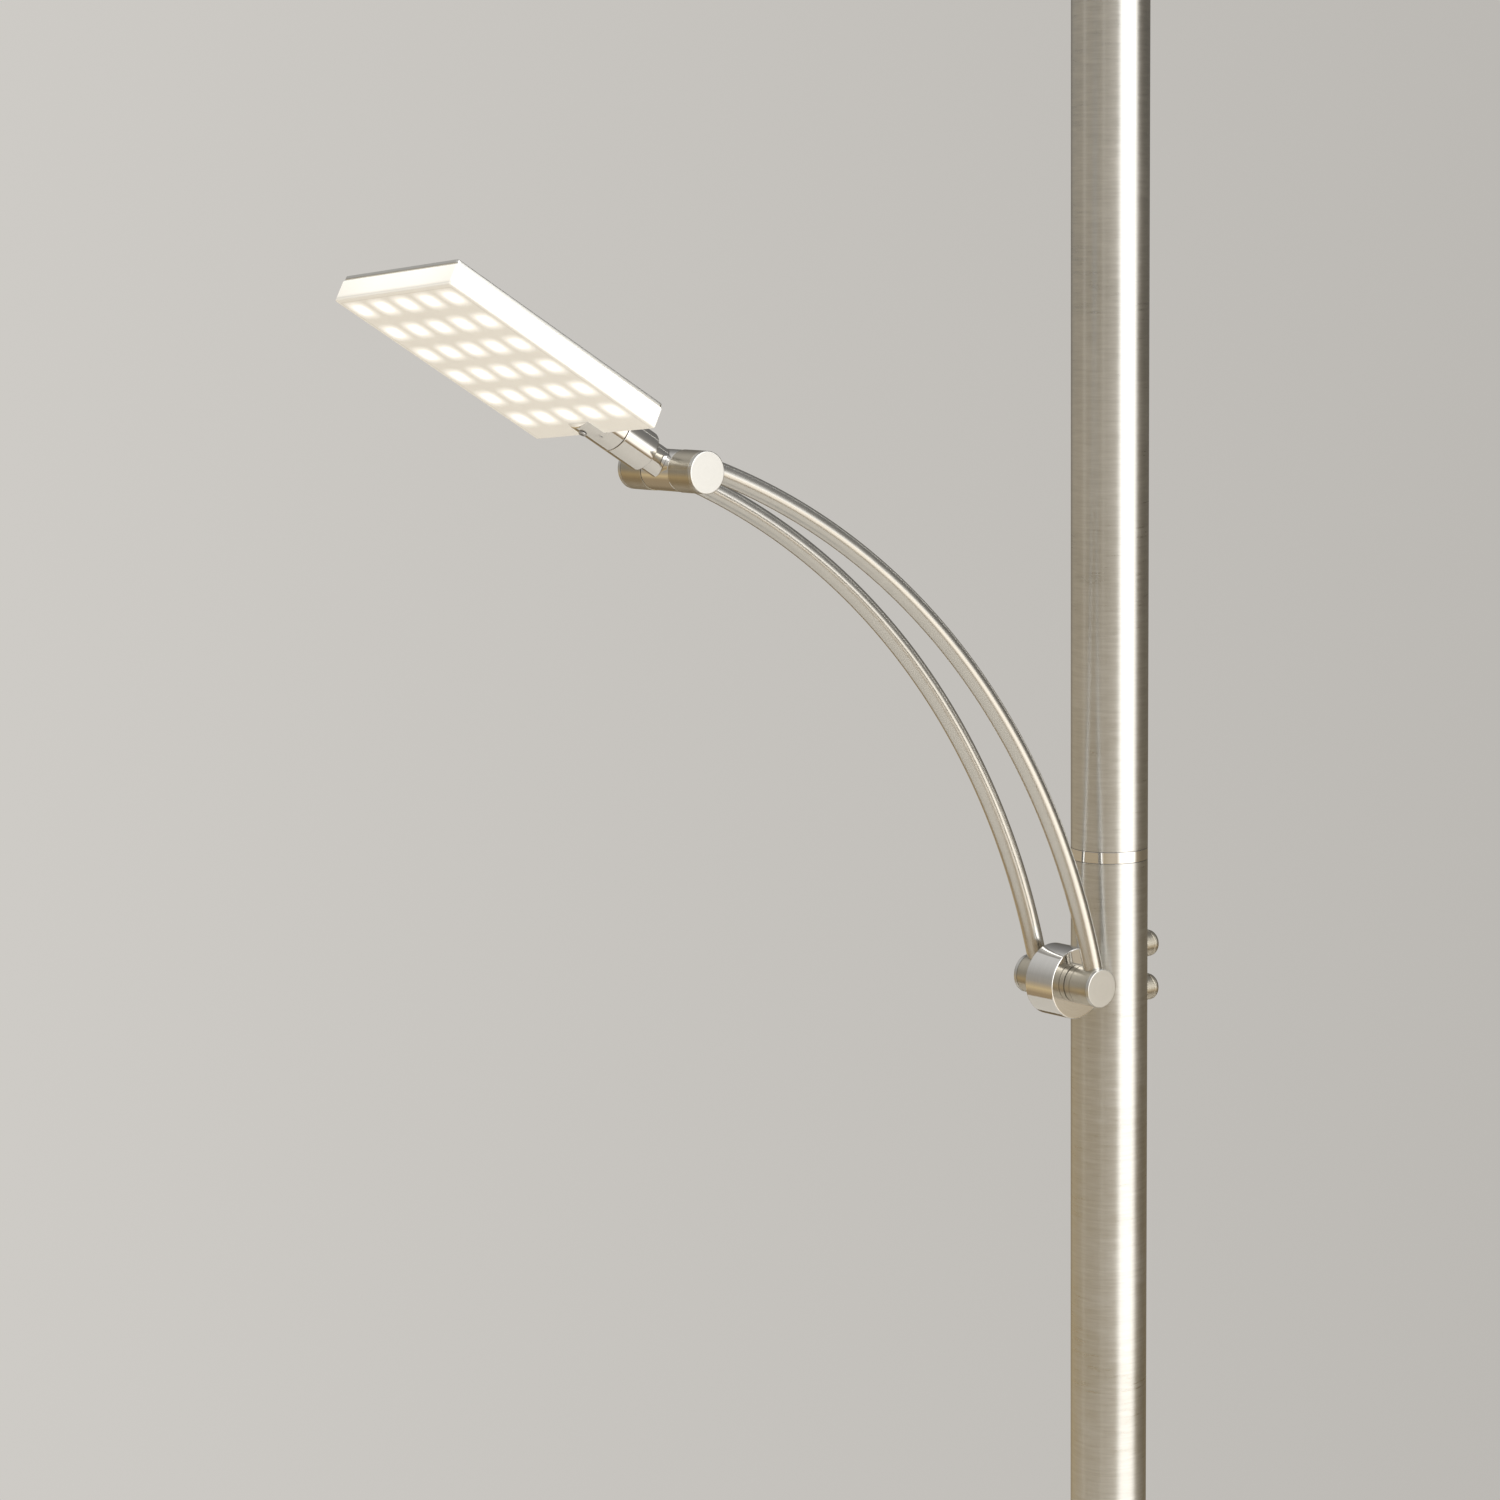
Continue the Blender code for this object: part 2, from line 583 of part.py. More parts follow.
def make_uplighter(looks):
    """Dish on the pole's top with its plug, bolt, nut, heat sink, board, LEDs, lens and ring."""
    plug_bore = BOLT_R + RUN
    plug_low = TUBE_TOP - PLUG_H
    plug_top = DISH_Z - GAP
    node("pole_plug", turn([(plug_bore, plug_low), (SPLICE_R, plug_low), (SPLICE_R, TUBE_TOP + GAP),
                            (POLE_R, TUBE_TOP + GAP), (POLE_R, plug_top), (plug_bore, plug_top)],
                           POLE_SIDES, ring=True), looks["steel"])
    bore = POLE_R + GAP * 2
    low = plug_top - 0.016
    node("dish_collar", turn([(bore, low), (0.0235, low), (0.0290, low + 0.004), (0.0290, plug_top),
                              (bore, plug_top)], POLE_SIDES, ring=True), looks["chrome"])
    node("dish", turn(dish_outline(), DISC_SIDES, ring=True), looks["nickel"])

    nut_low = DISH_Z + DISH_WALL + GAP
    nut = node("dish_nut", rod(0.0095, nut_low, nut_low + 0.005, 6), looks["steel"])
    cut(nut, rod(plug_bore, nut_low - 0.01, nut_low + 0.01, 20))
    node("dish_bolt", tube(BOLT_R, BOLT_BORE, plug_low + 0.002, nut_low + 0.0065, 20), looks["steel"])

    sink = node("heat_sink", tube(SINK_R, 0.013, SINK_Z, SINK_Z + SINK_H, DISC_SIDES), looks["aluminium"])
    for index in range(3):
        join(sink, rod(0.0030, nut_low, SINK_Z + 0.001, 10, spoke(0.0225, index, 3, math.pi / 3)))
    board_z = SINK_Z + SINK_H + GAP
    board = node("uplight_board", tube(SINK_R - 0.004, 0.013, board_z, board_z + BOARD_H, DISC_SIDES),
                 looks["board"])
    chips = []
    chip_z = board_z + BOARD_H
    for radius, count in UP_LED_RINGS:
        for index in range(count):
            chip = block((-LED_SIZE / 2, -LED_SIZE / 2, chip_z - SOLDER),
                         (LED_SIZE / 2, LED_SIZE / 2, chip_z + LED_H))
            bmesh.ops.transform(chip, matrix=spoke(radius, index, count), verts=chip.verts)
            chips.append(chip)
    join(board, gather(chips))
    node("uplight_lens", rod(LENS_R, LENS_Z, LENS_Z + LENS_H, DISC_SIDES), looks["acrylic"])
    node("lens_ring", tube(LENS_R, RING_IN, LENS_Z + LENS_H + GAP, TOTAL_H - 0.0012, DISC_SIDES),
         looks["nickel"])


def spoke(radius, index, count, turn_by=0.0):
    """The matrix of one of several equal places around the Z axis."""
    return Matrix.Rotation(2 * math.pi * index / count + turn_by, 4, "Z") @ at(radius, 0, 0)


def dish_outline():
    """Outline of the dish's wall: flat foot, swept flank on an arc, short upright rim."""
    flank_rise = LENS_Z - 0.0012 - DISH_Z
    run = DISH_R - DISH_FOOT_R
    outer = []
    inner = []
    for step in range(6):
        angle = math.radians(90 * step / 5)
        outer.append((DISH_FOOT_R + run * math.sin(angle), DISH_Z + flank_rise * (1 - math.cos(angle))))
        inner.append((DISH_FOOT_R + (run - DISH_WALL) * math.sin(angle),
                      DISH_Z + DISH_WALL + (flank_rise - DISH_WALL) * (1 - math.cos(angle))))
    seat_r = LENS_R - 0.003
    hole = BOLT_R + RUN
    outline = [(hole, DISH_Z)] + outer + [(DISH_R, TOTAL_H), (DISH_R - DISH_WALL, TOTAL_H)]
    outline += [(DISH_R - DISH_WALL, LENS_Z - GAP), (seat_r, LENS_Z - GAP)]
    inner = [point for point in inner if point[0] < seat_r]
    outline += inner[::-1] + [(hole, DISH_Z + DISH_WALL)]
    return outline


# ---------------------------------------------------------------- wiring

def make_wiring(looks):
    """The driver inside the middle tube and the lead from the gland up to the dish."""
    width, depth, height = DRIVER_SIZE
    shift = -0.003
    node("led_driver", block((-width / 2, shift - depth / 2, DRIVER_Z),
                             (width / 2, shift + depth / 2, DRIVER_Z + height)), looks["plastic"])
    bend = 0.020
    route = [Vector((BASE_R - 0.0055 - 0.0004, 0, GLAND_Z - 0.0022)), Vector((0.090, 0, 0.0080)),
             Vector((0.050, 0, 0.0080))]
    for step in range(7):
        angle = math.radians(90 * step / 6)
        route.append(Vector((bend * (1 - math.sin(angle)), 0, 0.0080 + bend * (1 - math.cos(angle)))))
    for step in range(7):
        share = step / 6
        ease = share * share * (3 - 2 * share)
        route.append(Vector((0, LEAD_Y * ease, 0.060 + 0.090 * share)))
    route += [Vector((0, LEAD_Y, 0.5)), Vector((0, LEAD_Y, 1.0)), Vector((0, LEAD_Y, 1.5))]
    for step in range(7):
        share = step / 6
        ease = share * share * (3 - 2 * share)
        route.append(Vector((0, LEAD_Y * (1 - ease), 1.640 + 0.085 * share)))
    route.append(Vector((0, 0, nut_height())))
    curve = bpy.data.curves.new("pole_lead", "CURVE")
    curve.dimensions = "3D"
    curve.bevel_depth = LEAD_R
    curve.bevel_resolution = 2
    curve.use_fill_caps = True
    spline = curve.splines.new("POLY")
    spline.points.add(len(route) - 1)
    for point, place in zip(spline.points, route):
        point.co = (*place, 1.0)
    curve.materials.append(looks["cable"])
    made = bpy.data.objects.new("pole_lead", curve)
    bpy.context.scene.collection.objects.link(made)


def nut_height():
    """Where the lead leaves the hollow bolt inside the dish."""
    return DISH_Z + DISH_WALL + 0.0075


# ---------------------------------------------------------------- assembly

def main():
    """Makes every node of the lamp in an empty scene."""
    for old in list(bpy.data.objects):
        bpy.data.objects.remove(old, do_unlink=True)
    looks = {
        "nickel": finish("nickel", (0.60, 0.57, 0.53), 0.32, 1.0),
        "satin": finish("satin", (0.64, 0.61, 0.57), 0.28, 1.0),
        "chrome": finish("chrome", (0.82, 0.82, 0.82), 0.08, 1.0),
        "steel": finish("steel", (0.55, 0.55, 0.56), 0.35, 1.0),
        "aluminium": finish("aluminium", (0.75, 0.76, 0.78), 0.45, 1.0),
        "cast": finish("cast", (0.12, 0.12, 0.13), 0.80, 0.3),
        "felt": finish("felt", (0.05, 0.05, 0.05), 0.95, 0.0),
        "rubber": finish("rubber", (0.03, 0.03, 0.03), 0.70, 0.0),
        "plastic": finish("plastic", (0.85, 0.85, 0.83), 0.50, 0.0),
        "cable": finish("cable", (0.80, 0.80, 0.78), 0.45, 0.0),
        "acrylic": finish("acrylic", (0.95, 0.94, 0.90), 0.25, 0.0),
        "board": finish("board", (0.90, 0.90, 0.88), 0.50, 0.0),
    }
    tube_start = make_base(looks)
    middle_tube = make_pole(looks, tube_start)
    make_dimmers(looks, middle_tube)
    make_hub(looks, middle_tube)
    upper = make_arm(looks)
    make_head(looks, upper)
    make_uplighter(looks)
    make_wiring(looks)


main()
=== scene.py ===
"""Surfaces, finishes and studio for a floor lamp with an adjustable reading arm.

Frame: metres, +Z up, origin at the centre of the base's underside. The arm reaches towards -X, its
two crossbars lie along Y, "front" is the -Y end of a crossbar and "back" the +Y end.
"""
import sys

import json
import math

import bpy
import numpy as np
from bpy.props import FloatProperty, FloatVectorProperty, IntProperty, PointerProperty
from mathutils import Matrix, Vector
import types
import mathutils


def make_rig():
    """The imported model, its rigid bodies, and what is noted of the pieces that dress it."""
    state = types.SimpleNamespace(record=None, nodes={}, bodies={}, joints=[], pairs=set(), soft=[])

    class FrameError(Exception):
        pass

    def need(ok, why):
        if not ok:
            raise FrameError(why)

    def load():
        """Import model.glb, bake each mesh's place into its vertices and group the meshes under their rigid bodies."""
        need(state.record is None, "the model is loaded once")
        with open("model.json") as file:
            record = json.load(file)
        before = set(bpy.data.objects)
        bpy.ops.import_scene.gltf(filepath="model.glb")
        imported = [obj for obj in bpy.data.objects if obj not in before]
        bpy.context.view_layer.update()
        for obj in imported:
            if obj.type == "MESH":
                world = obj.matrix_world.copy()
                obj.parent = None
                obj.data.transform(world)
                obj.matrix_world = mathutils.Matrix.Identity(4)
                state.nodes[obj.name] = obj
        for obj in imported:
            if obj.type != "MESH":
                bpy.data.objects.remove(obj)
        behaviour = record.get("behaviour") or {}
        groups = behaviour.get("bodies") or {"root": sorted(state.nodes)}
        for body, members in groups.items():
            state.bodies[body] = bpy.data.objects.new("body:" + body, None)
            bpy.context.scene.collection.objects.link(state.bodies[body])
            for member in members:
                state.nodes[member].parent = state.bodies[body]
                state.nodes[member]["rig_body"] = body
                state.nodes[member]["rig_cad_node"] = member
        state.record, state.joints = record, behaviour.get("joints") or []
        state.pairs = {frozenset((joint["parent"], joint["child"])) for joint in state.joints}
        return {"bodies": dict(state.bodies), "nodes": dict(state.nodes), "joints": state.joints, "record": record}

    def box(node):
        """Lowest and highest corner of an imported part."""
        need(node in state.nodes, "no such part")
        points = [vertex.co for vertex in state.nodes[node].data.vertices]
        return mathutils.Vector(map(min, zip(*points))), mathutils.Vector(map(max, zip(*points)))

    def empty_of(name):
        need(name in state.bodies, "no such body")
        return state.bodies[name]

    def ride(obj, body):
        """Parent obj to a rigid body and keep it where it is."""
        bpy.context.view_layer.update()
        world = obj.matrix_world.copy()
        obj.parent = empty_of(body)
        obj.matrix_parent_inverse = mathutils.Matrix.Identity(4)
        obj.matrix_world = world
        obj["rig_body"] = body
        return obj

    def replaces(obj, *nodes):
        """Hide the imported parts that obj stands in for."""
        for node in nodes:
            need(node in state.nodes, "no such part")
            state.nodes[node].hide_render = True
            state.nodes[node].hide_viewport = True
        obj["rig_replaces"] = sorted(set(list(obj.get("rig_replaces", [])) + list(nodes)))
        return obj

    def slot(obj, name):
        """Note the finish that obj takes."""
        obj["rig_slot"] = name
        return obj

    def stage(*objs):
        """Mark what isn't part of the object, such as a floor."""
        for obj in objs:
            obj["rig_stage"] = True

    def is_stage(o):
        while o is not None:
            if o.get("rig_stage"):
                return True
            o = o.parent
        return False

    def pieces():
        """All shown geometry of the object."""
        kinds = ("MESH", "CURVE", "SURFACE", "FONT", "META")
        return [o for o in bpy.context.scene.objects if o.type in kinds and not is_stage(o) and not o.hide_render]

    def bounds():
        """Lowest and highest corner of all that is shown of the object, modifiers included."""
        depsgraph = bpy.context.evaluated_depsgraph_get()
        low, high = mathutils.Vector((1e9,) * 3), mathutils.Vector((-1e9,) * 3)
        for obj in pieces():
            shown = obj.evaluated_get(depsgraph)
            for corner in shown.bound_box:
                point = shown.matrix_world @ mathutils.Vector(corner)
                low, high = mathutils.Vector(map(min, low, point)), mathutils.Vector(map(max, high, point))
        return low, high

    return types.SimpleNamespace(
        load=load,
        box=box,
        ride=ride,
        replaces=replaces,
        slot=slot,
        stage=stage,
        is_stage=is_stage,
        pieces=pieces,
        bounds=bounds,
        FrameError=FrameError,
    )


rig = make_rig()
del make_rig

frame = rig.load()
cad_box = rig.bounds()

bl_info = {
    "name": "Reading-arm floor lamp",
    "version": (1, 0, 0),
    "blender": (4, 5, 0),
    "location": "3D View > Sidebar > Floor Lamp",
    "description": "Makes the visible surfaces, finishes and studio of a floor lamp with a reading arm",
    "category": "Object",
}

X = np.array([1.0, 0.0, 0.0])
Y = np.array([0.0, 1.0, 0.0])
Z = np.array([0.0, 0.0, 1.0])
SHARP = math.radians(38)
FRONT_BACK = {"front": -1, "back": 1}
SLOTS = {"faced_nickel": "brushed_nickel", "fine_nickel": "brushed_nickel"}

# The arm's two rods follow one circle in the XZ plane. The boxes can't give its centre and radius.
ARC_CENTRE = np.array([-0.40405, 0.0, 0.9960])
ARC_R = 0.3835
ROD_R = 0.0050
ROD_Y = 0.0208

# The head lies at an angle, so these are along its own axes from the upper crossbar's centre.
HEAD_PITCH = math.radians(31.3)
HEAD_ROLL = math.radians(6.1)
KNUCKLE_R = 0.0098
NECK_R = 0.0072
NECK_START = 0.0040
NECK_END = 0.0180
SOCKET_R = 0.0099
SOCKET_END = 0.0368
FORK_START = 0.0371
FORK_END = 0.0585
PANEL_REAR = 0.0470
PANEL_FRONT = 0.1751
PANEL_HALF_W = 0.04255
PANEL_LOW = -0.0069
PLATE_LOW = 0.00367
PANEL_TOP = 0.00567
PLATE_INSET = 0.0012
SEAT_GAP = 0.0003
LED_ROWS = 6
LED_COLUMNS = 5
LED_ROW_PITCH = 0.01995
LED_COLUMN_PITCH = 0.0166
LED_MIDDLE = 0.1152
SCREW_PLACE = 0.05375

# Bores and walls that the frame's boxes can't give.
AXLE_BORE = 0.0044
POLE_HOLE = 0.0206
TUBE_WALL = 0.0012
SHEET = 0.0015

CAMERA_PLACE = (-1.3327, -1.3554, 1.4683)
CAMERA_YAW = math.radians(38.88)
CAMERA_PITCH = math.radians(-8.077)
CAMERA_ROLL = math.radians(-0.70)

# The room's colour from straight down, 0, to straight up, 1, and two narrow lights by their turn in
# degrees from the strip light and their brightness.
ROOM = (
    (0.0, (0.26, 0.22, 0.16)),
    (0.26, (0.36, 0.27, 0.16)),
    (0.345, (0.62, 0.48, 0.27)),
    (0.40, (0.47, 0.38, 0.25)),
    (0.475, (0.355, 0.325, 0.275)),
    (0.60, (0.37, 0.355, 0.325)),
    (0.80, (0.58, 0.57, 0.55)),
    (1.0, (0.75, 0.74, 0.72)),
)
NARROW_LIGHTS = ((-76, 0.26), (-138, 0.24))


def tone(red, green, blue):
    """Display levels of 0 to 255 as scene-linear values."""
    level = np.array([red, green, blue]) / 255.0
    linear = np.where(level <= 0.04045, level / 12.92, ((level + 0.055) / 1.055) ** 2.4)
    return tuple(linear.tolist())


# ---------------------------------------------------------------- settings

def colour_setting(name, description, default):
    """A colour to be set in the sidebar."""
    return FloatVectorProperty(name=name, description=description, default=default, size=3, min=0, max=1,
                               subtype="COLOR")


class LampSizes(bpy.types.PropertyGroup):
    """Sizes of the details that the visible surfaces add to the frame."""

    around: IntProperty(name="Points around", description="Points around each turned piece",
                        default=128, min=24, max=256)
    edge: FloatProperty(name="Edge easing", description="How far a turned edge is eased",
                        default=0.0004, min=0.0001, max=0.001, precision=5, unit="LENGTH")
    grain: FloatProperty(name="Brush pitch", description="Spacing of the brush lines on the metal",
                         default=0.0016, min=0.0002, max=0.003, precision=5, unit="LENGTH")
    panel_corner: FloatProperty(name="Panel corner", description="Corner radius of the head's panel",
                                default=0.0016, min=0.0005, max=0.01, precision=4, unit="LENGTH")
    light_spot: FloatProperty(name="Light spot", description="Half width of one LED's bright spot",
                              default=0.0036, min=0.001, max=0.007, precision=4, unit="LENGTH")
    light_blur: FloatProperty(name="Spot softness", description="Width of a spot's soft edge",
                              default=0.0034, min=0.0002, max=0.006, precision=4, unit="LENGTH")


class LampColours(bpy.types.PropertyGroup):
    """Colours of the lamp's finishes."""

    nickel: colour_setting("Brushed nickel", "Pole, base, dish and plate", (0.66, 0.655, 0.635))
    fine: colour_setting("Fine nickel", "Crossbars, spacers and knobs", (0.54, 0.50, 0.42))
    satin: colour_setting("Satin nickel", "The arm's two rods", (0.70, 0.69, 0.665))
    chrome: colour_setting("Chrome", "Hub, head joint, rings and collars", (0.80, 0.79, 0.775))
    steel: colour_setting("Steel", "Screws, axles and splices", (0.52, 0.52, 0.53))
    aluminium: colour_setting("Aluminium", "Heat sink", (0.72, 0.73, 0.75))
    diffuser: colour_setting("Diffuser", "The head's lit tray and the lens", (0.80, 0.785, 0.73))
    light: colour_setting("Light", "Colour of the LEDs' light", (1.0, 0.965, 0.90))
    gap_glow: FloatProperty(name="Glow between spots", description="Glow of the tray between its spots",
                            default=0.33, min=0, max=4)
    halo_glow: FloatProperty(name="Halo glow", description="What the halo round a spot adds",
                             default=0.32, min=0, max=4)
    spot_glow: FloatProperty(name="Spot glow", description="What the spot itself adds",
                             default=0.50, min=0, max=4)
    dark: colour_setting("Dark parts", "Felt, rubber and the cast weight", (0.035, 0.034, 0.033))
    pale: colour_setting("Pale parts", "Plastic, cable and circuit boards", (0.80, 0.80, 0.77))


class LampStudio(bpy.types.PropertyGroup):
    """Camera, floor and light around the lamp."""

    lens: FloatProperty(name="Lens", description="Focal length for a 36 mm wide frame",
                        default=88.29, min=20, max=300, unit="CAMERA")
    floor_radius: FloatProperty(name="Floor radius", description="Radius of the floor disc",
                                default=1.5, min=0.3, max=2.0, unit="LENGTH")
    floor: colour_setting("Floor", "Colour of the floor", (0.76, 0.72, 0.65))
    # The backdrop's two tones are painted light and shade across one wall: lighter towards the left, darker towards
    # the right.
    wall_left: colour_setting("Wall, left", "Backdrop towards the left", tone(206, 203, 198))
    wall_right: colour_setting("Wall, right", "Backdrop towards the right", tone(188, 185, 180))
    strip: FloatProperty(name="Strip light", description="Brightness of the tall strip light",
                         default=2.1, min=0, max=20)
    strip_turn: FloatProperty(name="Strip direction", description="Turn of the strip from +X to +Y",
                              default=math.radians(-78), subtype="ANGLE", unit="ROTATION")


# ---------------------------------------------------------------- shapes

def outline(points, cuts, ring=False, steps=6):
    """Straight lines from point to point, with each corner eased.

    Corner C, with A and B the cut's length back along its two edges, becomes the curve
    Q(t) = (1-t)^2 A + 2t(1-t) C + t^2 B. One more point beyond A and B keeps the flats flat.
    """
    corner = np.array(points, dtype=float)
    cut = np.broadcast_to(np.array(cuts, dtype=float), len(corner))[:, None].copy()
    if not ring:
        cut[[0, -1]] = 0.0
    before = np.roll(corner, 1, axis=0) - corner
    after = np.roll(corner, -1, axis=0) - corner
    before *= cut / np.linalg.norm(before, axis=1, keepdims=True)
    after *= cut / np.linalg.norm(after, axis=1, keepdims=True)
    share = np.linspace(0, 1, steps + 1)[None, :, None]
    bend = ((1 - share) ** 2 * (corner + before)[:, None] + 2 * share * (1 - share) * corner[:, None]
            + share ** 2 * (corner + after)[:, None])
    path = np.concatenate([(corner + before * 1.3)[:, None], bend, (corner + after * 1.3)[:, None]], axis=1)
    path = path.reshape(-1, 2)
    keep = np.linalg.norm(path - np.roll(path, 1, axis=0), axis=1) > 1e-7
    if not ring:
        keep[0] = True
    return path[keep]


def turned(path, base=(0.0, 0.0, 0.0), axis=Z, across=X, ring=False):
    """An outline of (radius r, height s) carried round an axis.

    P(s, t) = base + s axis + r (cos t across + sin t (axis x across)). The marks are the distance
    along the outline and r cos t, r sin t.
    """
    angle = 2 * np.pi * np.arange(bpy.context.scene.lamp_sizes.around) / bpy.context.scene.lamp_sizes.around
    spoke = np.outer(np.cos(angle), across) + np.outer(np.sin(angle), np.cross(axis, across))
    points = np.array(base) + path[:, 1, None, None] * axis + path[:, 0, None, None] * spoke
    run = np.concatenate([[0.0], np.cumsum(np.linalg.norm(np.diff(path, axis=0), axis=1))])
    marks = np.stack(np.broadcast_arrays(run[:, None], path[:, :1] * np.cos(angle),
                                         path[:, :1] * np.sin(angle)), axis=-1)
    return points, marks, ring


def pipe(radius, bore, start, end, cut, **place):
    """A hollow round piece between two heights, its four edges eased."""
    corners = [(bore, start), (radius, start), (radius, end), (bore, end)]
    return turned(outline(corners, cut, ring=True), ring=True, **place)


def slab(low, high, corner, edge, origin, axes, sides=96):
    """A rounded slab between two corners of a turned frame.

    Its plan is P(t) = (sx (a - q) + (q - i) cos t, sy (b - q) + (q - i) sin t), with half sizes a and b,
    corner radius q, sx and sy the signs of cos t and sin t, and i the inset. The inset falls as
    edge (1 - sin p) while the height rises as edge (1 - cos p), p from 0 to 90 degrees, and back at the top.
    """
    low, high = np.array(low), np.array(high)
    middle, half = (low + high) / 2, (high - low) / 2
    angle = 2 * np.pi * (np.arange(sides) + 0.5) / sides
    quarter = np.linspace(0, np.pi / 2, 6)
    inset = np.concatenate([[corner], edge * (1 - np.sin(quarter))])
    rise = np.concatenate([[0.0], edge * (1 - np.cos(quarter))])
    inset = np.concatenate([inset, inset[::-1]])[:, None]
    level = np.concatenate([low[2] + rise, (high[2] - rise)[::-1]])[:, None]
    x = middle[0] + np.sign(np.cos(angle)) * (half[0] - corner) + (corner - inset) * np.cos(angle)
    y = middle[1] + np.sign(np.sin(angle)) * (half[1] - corner) + (corner - inset) * np.sin(angle)
    marks = np.stack(np.broadcast_arrays(x, y, level), axis=-1)
    centre = np.broadcast_to(middle, (1, sides, 3)).copy()
    first, last = centre.copy(), centre.copy()
    first[..., 2], last[..., 2] = low[2], high[2]
    marks = np.concatenate([first, marks, last])
    return np.array(origin) + marks @ np.array(axes), marks, False


def jaw(radius, chord, side, start, end, lip, origin, axes, arc=48):
    """A round bar's slice beyond a chord, from one length to another.

    The section is the arc (r cos t, r sin t) above height r sin t0 = chord, closed by the chord, and
    at both ends it draws in towards its middle by the lip. side -1 puts it below the axis.
    """
    opening = math.asin(chord / radius)
    angle = np.linspace(opening, np.pi - opening, arc)
    back = np.linspace(-1, 1, 10)[1:-1] * radius * math.cos(opening)
    section = np.concatenate([np.stack([np.cos(angle), np.sin(angle)], axis=1) * radius,
                              np.stack([back, np.full(8, chord)], axis=1)])
    heart = np.array([0.0, (chord + radius) / 2])
    drawn = heart + (section - heart) * np.array([1 - lip / radius, 1 - 2 * lip / (radius - chord)])
    rows = np.stack([np.broadcast_to(heart, section.shape), drawn, section, section, drawn,
                     np.broadcast_to(heart, section.shape)])
    length = np.broadcast_to(np.array([start, start, start + lip, end - lip, end, end])[:, None],
                             rows.shape[:2])
    marks = np.stack([length, rows[..., 0], rows[..., 1] * side], axis=-1)
    return np.array(origin) + marks @ np.array(axes), marks, False


def piece(name, shells, finish, body, *nodes):
    """Closed shells joined into one mesh, with a finish, tied to the frame.

    A shell is a grid of points, rows along its outline and columns round it. A ring's last row meets
    its first, and any other shell's first and last rows are one point each. Each shell is turned
    outwards by the sign of its volume, the sum of p . (q x r) over its faces. The UV map holds the share
    of the way round and the distance along the outline.
    """
    places, labels, faces, laid, count = [], [], [], [], 0
    for points, marks, ring in shells:
        rows, columns = points.shape[:2]
        ids = np.arange(rows * columns).reshape(rows, columns)
        if ring:
            ids = np.vstack([ids, ids[:1]])
        else:
            ids[[0, -1]] = ids[[0, -1], :1]
        around = np.roll(ids, -1, axis=1)
        quads = np.stack([ids[:-1], around[:-1], around[1:], ids[1:]], axis=-1).reshape(-1, 4)
        used, quads = np.unique(quads, return_inverse=True)
        quads = quads.reshape(-1, 4)
        spots = points.reshape(-1, 3)[used]
        corner = spots[quads] - spots.mean(axis=0)
        volume = np.einsum("ij,ij->i", corner[:, 0], np.cross(corner[:, 1], corner[:, 2])).sum()
        volume += np.einsum("ij,ij->i", corner[:, 0], np.cross(corner[:, 2], corner[:, 3])).sum()
        run = np.concatenate([[0.0], np.cumsum(np.linalg.norm(np.diff(points, axis=0), axis=2).max(axis=1))])
        run = np.append(run, run[-1] + np.linalg.norm(points[0] - points[-1], axis=1).max())
        turn = np.arange(columns + 1) / columns
        corners = ((0, 0), (0, 1), (1, 1), (1, 0))
        flat = np.stack([np.stack(np.broadcast_arrays(turn[j:j + columns], run[i:i + len(ids) - 1, None]), -1)
                         for i, j in corners], axis=-2).reshape(-1, 4, 2)
        first, last = quads[:, 0] == quads[:, 1], quads[:, 2] == quads[:, 3]
        order = 1 if volume > 0 else -1
        for chosen, kept in ((~first & ~last, [0, 1, 2, 3]), (first, [0, 2, 3]), (last, [0, 1, 2])):
            faces += (quads[chosen][:, kept][:, ::order] + count).tolist()
            laid.append(flat[chosen][:, kept][:, ::order].reshape(-1, 2))
        places.append(spots)
        labels.append(marks.reshape(-1, 3)[used])
        count += len(spots)
    mesh = bpy.data.meshes.new(name)
    mesh.from_pydata(np.concatenate(places).tolist(), [], faces)
    mesh.attributes.new("marks", "FLOAT_VECTOR", "POINT").data.foreach_set(
        "vector", np.concatenate(labels).ravel())
    mesh.uv_layers.new(name="around_and_along").data.foreach_set("uv", np.concatenate(laid).ravel())
    mesh.shade_smooth()
    mesh.set_sharp_from_angle(angle=SHARP)
    mesh.materials.append(finished(finish))
    made = bpy.data.objects.new(name, mesh)
    bpy.context.scene.collection.objects.link(made)
    if body is None:
        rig.stage(made)
        return made
    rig.ride(made, body)
    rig.slot(made, SLOTS.get(finish, finish))
    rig.replaces(made, *nodes)
    return made


def low(node):
    """A frame node's lowest corner."""
    return np.array(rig.box(node)[0])


def high(node):
    """A frame node's highest corner."""
    return np.array(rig.box(node)[1])


def span(node):
    """A frame node's lowest and highest corners."""
    return low(node), high(node)


def bar_centre(level):
    """The middle of a crossbar, from its end caps."""
    return (low(f"{level}_cap_front") + high(f"{level}_cap_back")) / 2


def head_axes(roll):
    """The head's own length, width and height as row vectors."""
    pitch = Matrix.Rotation(math.pi, 3, "Z") @ Matrix.Rotation(-HEAD_PITCH, 3, "Y")
    return np.array((pitch @ Matrix.Rotation(roll, 3, "X")).transposed())


# ---------------------------------------------------------------- finishes

def add(tree, kind, values=(), **settings):
    """A shader node; values holds numbers, colours or other nodes' outputs for its inputs."""
    made = tree.nodes.new(kind)
    for key, value in settings.items():
        setattr(made, key, value)
    for key, value in dict(values).items():
        if isinstance(value, bpy.types.NodeSocket):
            tree.links.new(value, made.inputs[key])
        else:
            made.inputs[key].default_value = value
    return made


